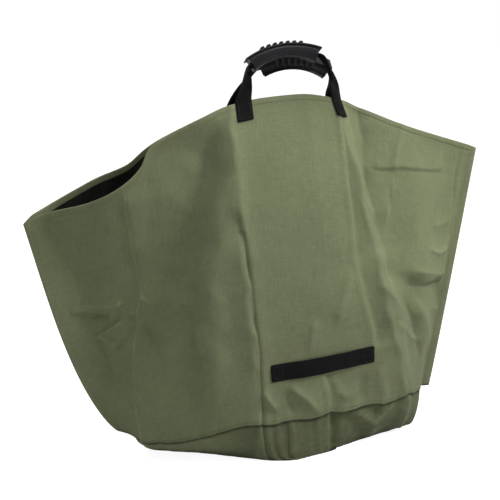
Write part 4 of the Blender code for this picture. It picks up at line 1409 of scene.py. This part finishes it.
def handle_rows(side, shares, pose, middle, turn):
    """Rows of one handle's webbing in the frame's axes: tab, leg, grip, leg and tab."""
    def in_frame(rows):
        return [np.array([middle + turn @ point for point in row]) for row in rows]

    halves = []
    for end, share in zip((-1.0, 1.0), shares):
        drops = np.linspace(TAB_LENGTH, -TAB_RISE, TAB_ROWS)
        tab = [tab_row(side, share, drop, WEBBING_LIFT, width_shares())[0] for drop in drops]
        top = tab_row(side, share, -TAB_RISE - FOOT_GAP, WEBBING_LIFT, width_shares())[0]
        foot = [turn.transposed() @ (Vector(point) - middle) for point in top]
        place, _, width = grip_place(pose, end, side)
        inside = grip_place(pose, INSIDE_SHARE * end, side)[0]
        leg = leg_rows(foot, place, width, (place - inside).normalized(), side)
        rows = tab + in_frame(leg)
        if (leg[-1][-1] - leg[-1][0]).dot(width) < 0.0:
            rows = [row[::-1] for row in rows]
        halves.append(rows)
    return np.stack(halves[0] + in_frame(grip_rows(pose, side)) + halves[1][::-1])


def add_handle_strap(label, side, shares, pose):
    """A handle's webbing in one length, sewn to the bag at both ends."""
    middle, turn = joint_frame(label + "_handle_fold")
    rows = relaxed(handle_rows(side, shares, pose, middle, turn), HANDLE_EASING)
    made = strip(label + "_handle_strap", rows, grid_normals(rows, False))
    names = (label + "_left_tab", label + "_right_tab", label + "_handle_webbing")
    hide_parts(*names)
    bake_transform(made)


# Pull strap

def strap_rows(distances, lift, shares):
    """Places up the strap's width at each distance along it from its middle."""
    tilt = math.radians(STRAP_TILT)
    distance, share = np.meshgrid(distances, shares, indexing="ij")
    up = share * WEBBING_WIDTH / 2
    x = STRAP_CENTRE[0] + distance * math.cos(tilt) - up * math.sin(tilt)
    z = STRAP_CENTRE[1] + BAG_SHIFT[2] + distance * math.sin(tilt) + up * math.cos(tilt)
    a, h = wall_place(-1, x.ravel(), z.ravel())
    loose = STRAP_LENGTH / 2 - STRAP_END
    slack = STRAP_SLACK * smooth((loose - np.abs(distance)) / STRAP_SLACK_EASE)
    places, normals, _ = wall_skin(-1, a, h, (lift + slack).ravel())
    return places.reshape(x.shape + (3,)), normals.reshape(x.shape + (3,))


def strap_stitch_row(distance):
    places, normals = strap_rows(np.array([distance]), WEBBING_FACE, stitch_shares())
    return places[0], normals[0]


def add_pull_strap():
    """The strap in two halves that meet in the middle, each sewn to the bag at its outer end."""
    half = STRAP_LENGTH / 2
    loose = half - STRAP_END
    for label, sign in (("left", -1), ("right", 1)):
        distances = np.linspace(min(0.0, sign * half), max(0.0, sign * half), STRAP_ROWS)
        rows, _ = strap_rows(distances, WEBBING_LIFT, width_shares())
        rows = relaxed(rows, STRAP_EASING)
        made = strip("pull_strap_" + label + "_half", rows, -grid_normals(rows, False))
        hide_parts("pull_strap_" + label + "_end", "pull_strap_middle")
        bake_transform(made)
    for label, sign in (("left", -1), ("right", 1)):
        near, far = sign * (loose + TAB_STITCH_INSET), sign * (half - TAB_STITCH_INSET)
        stitches("pull_strap_" + label, [box_path(strap_stitch_row, near, far)], "black_thread")


# Moulded grips

def rounded_section(left, right, low, high, corner, steps=6):
    """Closed outline of a rounded bar: pairs of (across, outward)."""
    outline = []
    corners = ((right - corner, high - corner), (left + corner, high - corner),
               (left + corner, low + corner), (right - corner, low + corner))
    for number, (across_here, up_here) in enumerate(corners):
        for i in range(steps + 1):
            angle = math.radians(90 * number + 90 * i / steps)
            outline.append((across_here + corner * math.cos(angle), up_here + corner * math.sin(angle)))
    return outline


class Moulding:
    """Collects closed bars of one grip before they are melted together."""

    def __init__(self, pose, side):
        self.pose = pose
        self.side = side
        self.points = []
        self.faces = []

    def add_outline(self, outline, share):
        """Places of an outline that stands square to the grip at a share of its length from the middle."""
        place, outward, width = grip_place(self.pose, share, self.side)
        self.points += [place + width * y * -self.side + outward * z for y, z in outline]

    def add_skin(self, first, sides, ring, count, inward=False):
        """Faces along a bar; ring is how many places lie between one outline and the next."""
        for i in range(count):
            low = first + i * ring
            high = low + ring
            for j in range(sides):
                k = (j + 1) % sides
                if inward:
                    j, k = k, j
                self.faces.append((low + j, low + k, high + k, high + j))

    def bar(self, length, section, count=30, offset=0.0, taper=0.0, flare=0.0):
        """Arched bar with rounded ends, offset along the grip and pushed inward at its ends by flare."""
        start, sides = len(self.points), len(section)
        middle_y, middle_z = (sum(values) / sides for values in zip(*section))
        for i in range(count + 1):
            at = 2 * i / count - 1
            share = (offset + at * length / 2) / (GRIP_LENGTH / 2)
            shrink = 1 - taper * (2 * max(0.0, abs(at) - 0.5)) ** 2
            down = flare * share * share
            self.add_outline([(middle_y + (y - middle_y) * shrink, middle_z + (z - middle_z) * shrink - down)
                              for y, z in section], share)
        self.add_skin(start, sides, sides, count)
        self.faces.append(tuple(start + j for j in range(sides))[::-1])
        self.faces.append(tuple(start + count * sides + j for j in range(sides)))

    def tube(self, length, section, hole, count=40):
        """Arched bar with a slot through its whole length; both outlines have as many places."""
        start, sides = len(self.points), len(section)
        for i in range(count + 1):
            share = (2 * i / count - 1) * length / GRIP_LENGTH
            deeper = 1 + 2 * GRIP_FLARE / GRIP_HEIGHT * share * share
            self.add_outline([(y, z * deeper if z < 0.0 else z) for y, z in section] + hole, share)
        self.add_skin(start, sides, 2 * sides, count)
        self.add_skin(start + sides, sides, 2 * sides, count, inward=True)
        last = start + count * 2 * sides
        for j in range(sides):
            k = (j + 1) % sides
            self.faces.append((start + k, start + j, start + sides + j, start + sides + k))
            self.faces.append((last + j, last + k, last + sides + k, last + sides + j))

    def melted(self, name, middle, turn, voxel, smoothing):
        """One rounded moulding from all the bars, in the frame's axes."""
        mesh = bpy.data.meshes.new(name)
        mesh.from_pydata([(middle + turn @ point) * MM for point in self.points], [], self.faces)
        rough = add_object(name + "_rough", mesh)
        melt = rough.modifiers.new("melt", "REMESH")
        melt.mode = "VOXEL"
        melt.voxel_size = voxel
        ease = rough.modifiers.new("ease", "SMOOTH")
        ease.factor = 0.5
        ease.iterations = smoothing
        graph = bpy.context.evaluated_depsgraph_get()
        final = bpy.data.meshes.new_from_object(rough.evaluated_get(graph))
        final.name = name
        bpy.data.objects.remove(rough, do_unlink=True)
        final.polygons.foreach_set("use_smooth", [True] * len(final.polygons))
        final.materials.clear()
        final.materials.append(finish("moulded_grip"))
        return add_object(name, final)


def add_grip(label, side, pose):
    """Slotted grip: smooth outer side, lipped plate on top, ribs over the top and down the inner side."""
    settings = bpy.context.scene.bag_handles
    middle, turn = joint_frame(label + "_handle_fold")
    moulding = Moulding(pose, side)
    slot_half, slot_up = WEBBING_WIDTH / 2 + CONTACT_GAP, WEBBING_THICKNESS / 2 + CONTACT_GAP
    half, up = slot_half + GRIP_WALL, GRIP_HEIGHT / 2
    body = rounded_section(-half, half, -up, up, GRIP_CORNER)
    hole = rounded_section(-slot_half, slot_half, -slot_up, slot_up, slot_up * SLOT_ROUNDNESS)
    moulding.tube(GRIP_LENGTH, body, hole)
    low = up - PLATE_LIP
    high = low + PLATE_THICKNESS
    edge = half + PLATE_LIP
    moulding.bar(GRIP_LENGTH + 2 * PLATE_OVERHANG, rounded_section(-edge, edge, low, high, PLATE_CORNER))
    flange = rounded_section(half - FLANGE_REACH, edge + FLANGE_REACH, FLANGE_RISE - up,
                             FLANGE_RISE + FLANGE_HEIGHT - up, PLATE_CORNER)
    moulding.bar(GRIP_LENGTH - FLANGE_INSET, flange, flare=GRIP_FLARE)
    reach = edge + RIB_STAND
    top_corner, inner_corner = RIB_CORNERS
    top = rounded_section(-RIB_OUTER_SHARE * reach, reach, high - RIB_SINK, high + RIB_HEIGHT, top_corner)
    shoulder = high + RIB_HEIGHT * RIB_SHOULDER
    inner = rounded_section(half - RIB_ROOT, reach, RIB_DROP - up, shoulder, inner_corner)
    for number in range(RIB_COUNT):
        offset = RIB_PITCH * (number - (RIB_COUNT - 1) / 2)
        for section in (top, inner):
            moulding.bar(RIB_THICKNESS, section, 8, offset, RIB_TAPER)
    made = moulding.melted(label + "_grip_moulding", middle, turn, settings.voxel, settings.smoothing)
    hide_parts(label + "_grip")
    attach(made, label + "_handle")


# Stage

def add_area_lamp(name, place, target, size, colour, power):
    lamp = bpy.data.lights.new(name, "AREA")
    lamp.shape = "DISK"
    lamp.size = size
    lamp.energy = power
    lamp.color = colour
    made = add_object(name, lamp)
    made.location = place
    made.rotation_euler = (Vector(target) - Vector(place)).to_track_quat("-Z", "Y").to_euler()


def floor_material(name):
    """Pale floor that the camera sees as white, with the object's shadow left on it."""
    made, tree, shader = new_material(name)
    tone = bpy.context.scene.bag_stage.floor
    place = node(tree, "ShaderNodeTexCoord", {}).outputs["Object"]
    colour = mixed(tree, noise(tree, place, 6.0, detail=4.0), tone, toned(tone, 0.97))
    fill(tree, shader, {"Base Color": colour, "Roughness": 0.9})
    seen = node(tree, "ShaderNodeLightPath", {}).outputs["Is Camera Ray"]
    white = node(tree, "ShaderNodeEmission", {"Color": WHITE, "Strength": FLOOR_GLOW}).outputs[0]
    share = times(tree, seen, FLOOR_GLOW_SHARE)
    mix = node(tree, "ShaderNodeMixShader", {0: share, 1: shader.outputs[0], 2: white})
    fill(tree, tree.nodes["Material Output"], {"Surface": mix.outputs[0]})
    return made


def add_floor():
    mesh = bpy.data.meshes.new("floor")
    corners = [(x * FLOOR_REACH, y * FLOOR_REACH, 0.0) for x, y in ((-1, -1), (1, -1), (1, 1), (-1, 1))]
    mesh.from_pydata(corners, [], [(0, 1, 2, 3)])
    mesh.materials.append(floor_material("pale_floor"))
    made = add_object("floor", mesh)


def add_world():
    """Even light from all round; the camera sees it as white."""
    world = bpy.data.worlds.new("studio")
    bpy.context.scene.world = world
    world.use_nodes = True
    tree = world.node_tree
    path = node(tree, "ShaderNodeLightPath", {})
    seen = maths(tree, "MAXIMUM", path.outputs["Is Camera Ray"], path.outputs["Is Transmission Ray"])
    strength = between(tree, seen, bpy.context.scene.bag_stage.ambient, 1.0)
    fill(tree, tree.nodes["Background"], {"Color": WHITE, "Strength": strength})


def add_camera():
    data = bpy.data.cameras.new("camera")
    data.sensor_width = SENSOR
    data.lens = SENSOR * CAMERA_DISTANCE / VIEW_WIDTH
    data.clip_end = CAMERA_SIGHT
    camera = add_object("camera", data)
    turn, rise = math.radians(CAMERA_TURN), math.radians(CAMERA_RISE)
    ahead = Vector((math.sin(turn) * math.cos(rise), math.cos(turn) * math.cos(rise), -math.sin(rise)))
    camera.location = (Vector(CAMERA_TARGET) - ahead * CAMERA_DISTANCE) * MM
    camera.rotation_euler = ahead.to_track_quat("-Z", "Y").to_euler()
    bpy.context.scene.camera = camera


# Operators

class BAG_OT_base(bpy.types.Operator):
    """Builds the base panel"""
    bl_idname = "leaf_bag.base"
    bl_label = "Add Base"

    def execute(self, context):
        made = add_base()
        return {"FINISHED"}


class BAG_OT_walls(bpy.types.Operator):
    """Builds the creased front and back walls"""
    bl_idname = "leaf_bag.walls"
    bl_label = "Add Walls"

    def execute(self, context):
        front = add_wall("front_canvas", "front_wall", -1, FRONT_COLUMNS, FRONT_ROWS)
        back = add_wall("back_canvas", "back_wall", 1, BACK_COLUMNS, BACK_ROWS)
        return {"FINISHED"}


class BAG_OT_stitches(bpy.types.Operator):
    """Sews the hems, side seams and base seam"""
    bl_idname = "leaf_bag.stitches"
    bl_label = "Add Stitches"

    def execute(self, context):
        add_canvas_stitches()
        return {"FINISHED"}


class BAG_OT_handles(bpy.types.Operator):
    """Builds both webbing handles with their sewn tabs"""
    bl_idname = "leaf_bag.handles"
    bl_label = "Add Handles"

    def execute(self, context):
        add_handle_strap("front", -1, FRONT_TAB_SHARES, FRONT_POSE)
        add_handle_strap("back", 1, BACK_TAB_SHARES, BACK_POSE)
        add_tab_stitches("front", -1, FRONT_TAB_SHARES)
        add_tab_stitches("back", 1, BACK_TAB_SHARES)
        return {"FINISHED"}


class BAG_OT_grips(bpy.types.Operator):
    """Builds both moulded grips"""
    bl_idname = "leaf_bag.grips"
    bl_label = "Add Grips"

    def execute(self, context):
        add_grip("front", -1, FRONT_POSE)
        add_grip("back", 1, BACK_POSE)
        return {"FINISHED"}


class BAG_OT_pull_strap(bpy.types.Operator):
    """Builds the pull strap on the front wall"""
    bl_idname = "leaf_bag.pull_strap"
    bl_label = "Add Pull Strap"

    def execute(self, context):
        add_pull_strap()
        return {"FINISHED"}


class BAG_OT_stage(bpy.types.Operator):
    """Adds the floor, the lamps and the camera"""
    bl_idname = "leaf_bag.stage"
    bl_label = "Add Stage"

    def execute(self, context):
        context.scene.view_settings.view_transform = "Standard"
        add_world()
        add_floor()
        for name, place, target, size, colour in LAMPS:
            power = getattr(context.scene.bag_stage, name + "_power")
            add_area_lamp(name + "_lamp", place, target, size, colour, power)
        add_camera()
        return {"FINISHED"}


class BAG_PT_panel(bpy.types.Panel):
    """Lists the settings of the leaf bag and the operators that build it"""
    bl_idname = "BAG_PT_panel"
    bl_label = "Leaf Bag"
    bl_space_type = "VIEW_3D"
    bl_region_type = "UI"
    bl_category = "Leaf Bag"

    def draw(self, context):
        for group in (context.scene.bag_cloth, context.scene.bag_handles, context.scene.bag_stage):
            for name in group.__annotations__:
                self.layout.prop(group, name)
        for operator in OPERATORS:
            self.layout.operator(operator.bl_idname)


OPERATORS = (BAG_OT_base, BAG_OT_walls, BAG_OT_stitches, BAG_OT_handles, BAG_OT_grips, BAG_OT_pull_strap,
             BAG_OT_stage)
CLASSES = (BagClothSettings, BagHandleSettings, BagStageSettings) + OPERATORS + (BAG_PT_panel,)


def register():
    for item in CLASSES:
        bpy.utils.register_class(item)
    bpy.types.Scene.bag_cloth = PointerProperty(type=BagClothSettings)
    bpy.types.Scene.bag_handles = PointerProperty(type=BagHandleSettings)
    bpy.types.Scene.bag_stage = PointerProperty(type=BagStageSettings)


def unregister():
    del bpy.types.Scene.bag_cloth
    del bpy.types.Scene.bag_handles
    del bpy.types.Scene.bag_stage
    for item in reversed(CLASSES):
        bpy.utils.unregister_class(item)


def main():
    register()
    bpy.ops.leaf_bag.base()
    bpy.ops.leaf_bag.walls()
    bpy.ops.leaf_bag.stitches()
    bpy.ops.leaf_bag.handles()
    bpy.ops.leaf_bag.grips()
    bpy.ops.leaf_bag.pull_strap()
    bpy.ops.leaf_bag.stage()


if __name__ == "__main__":
    main()
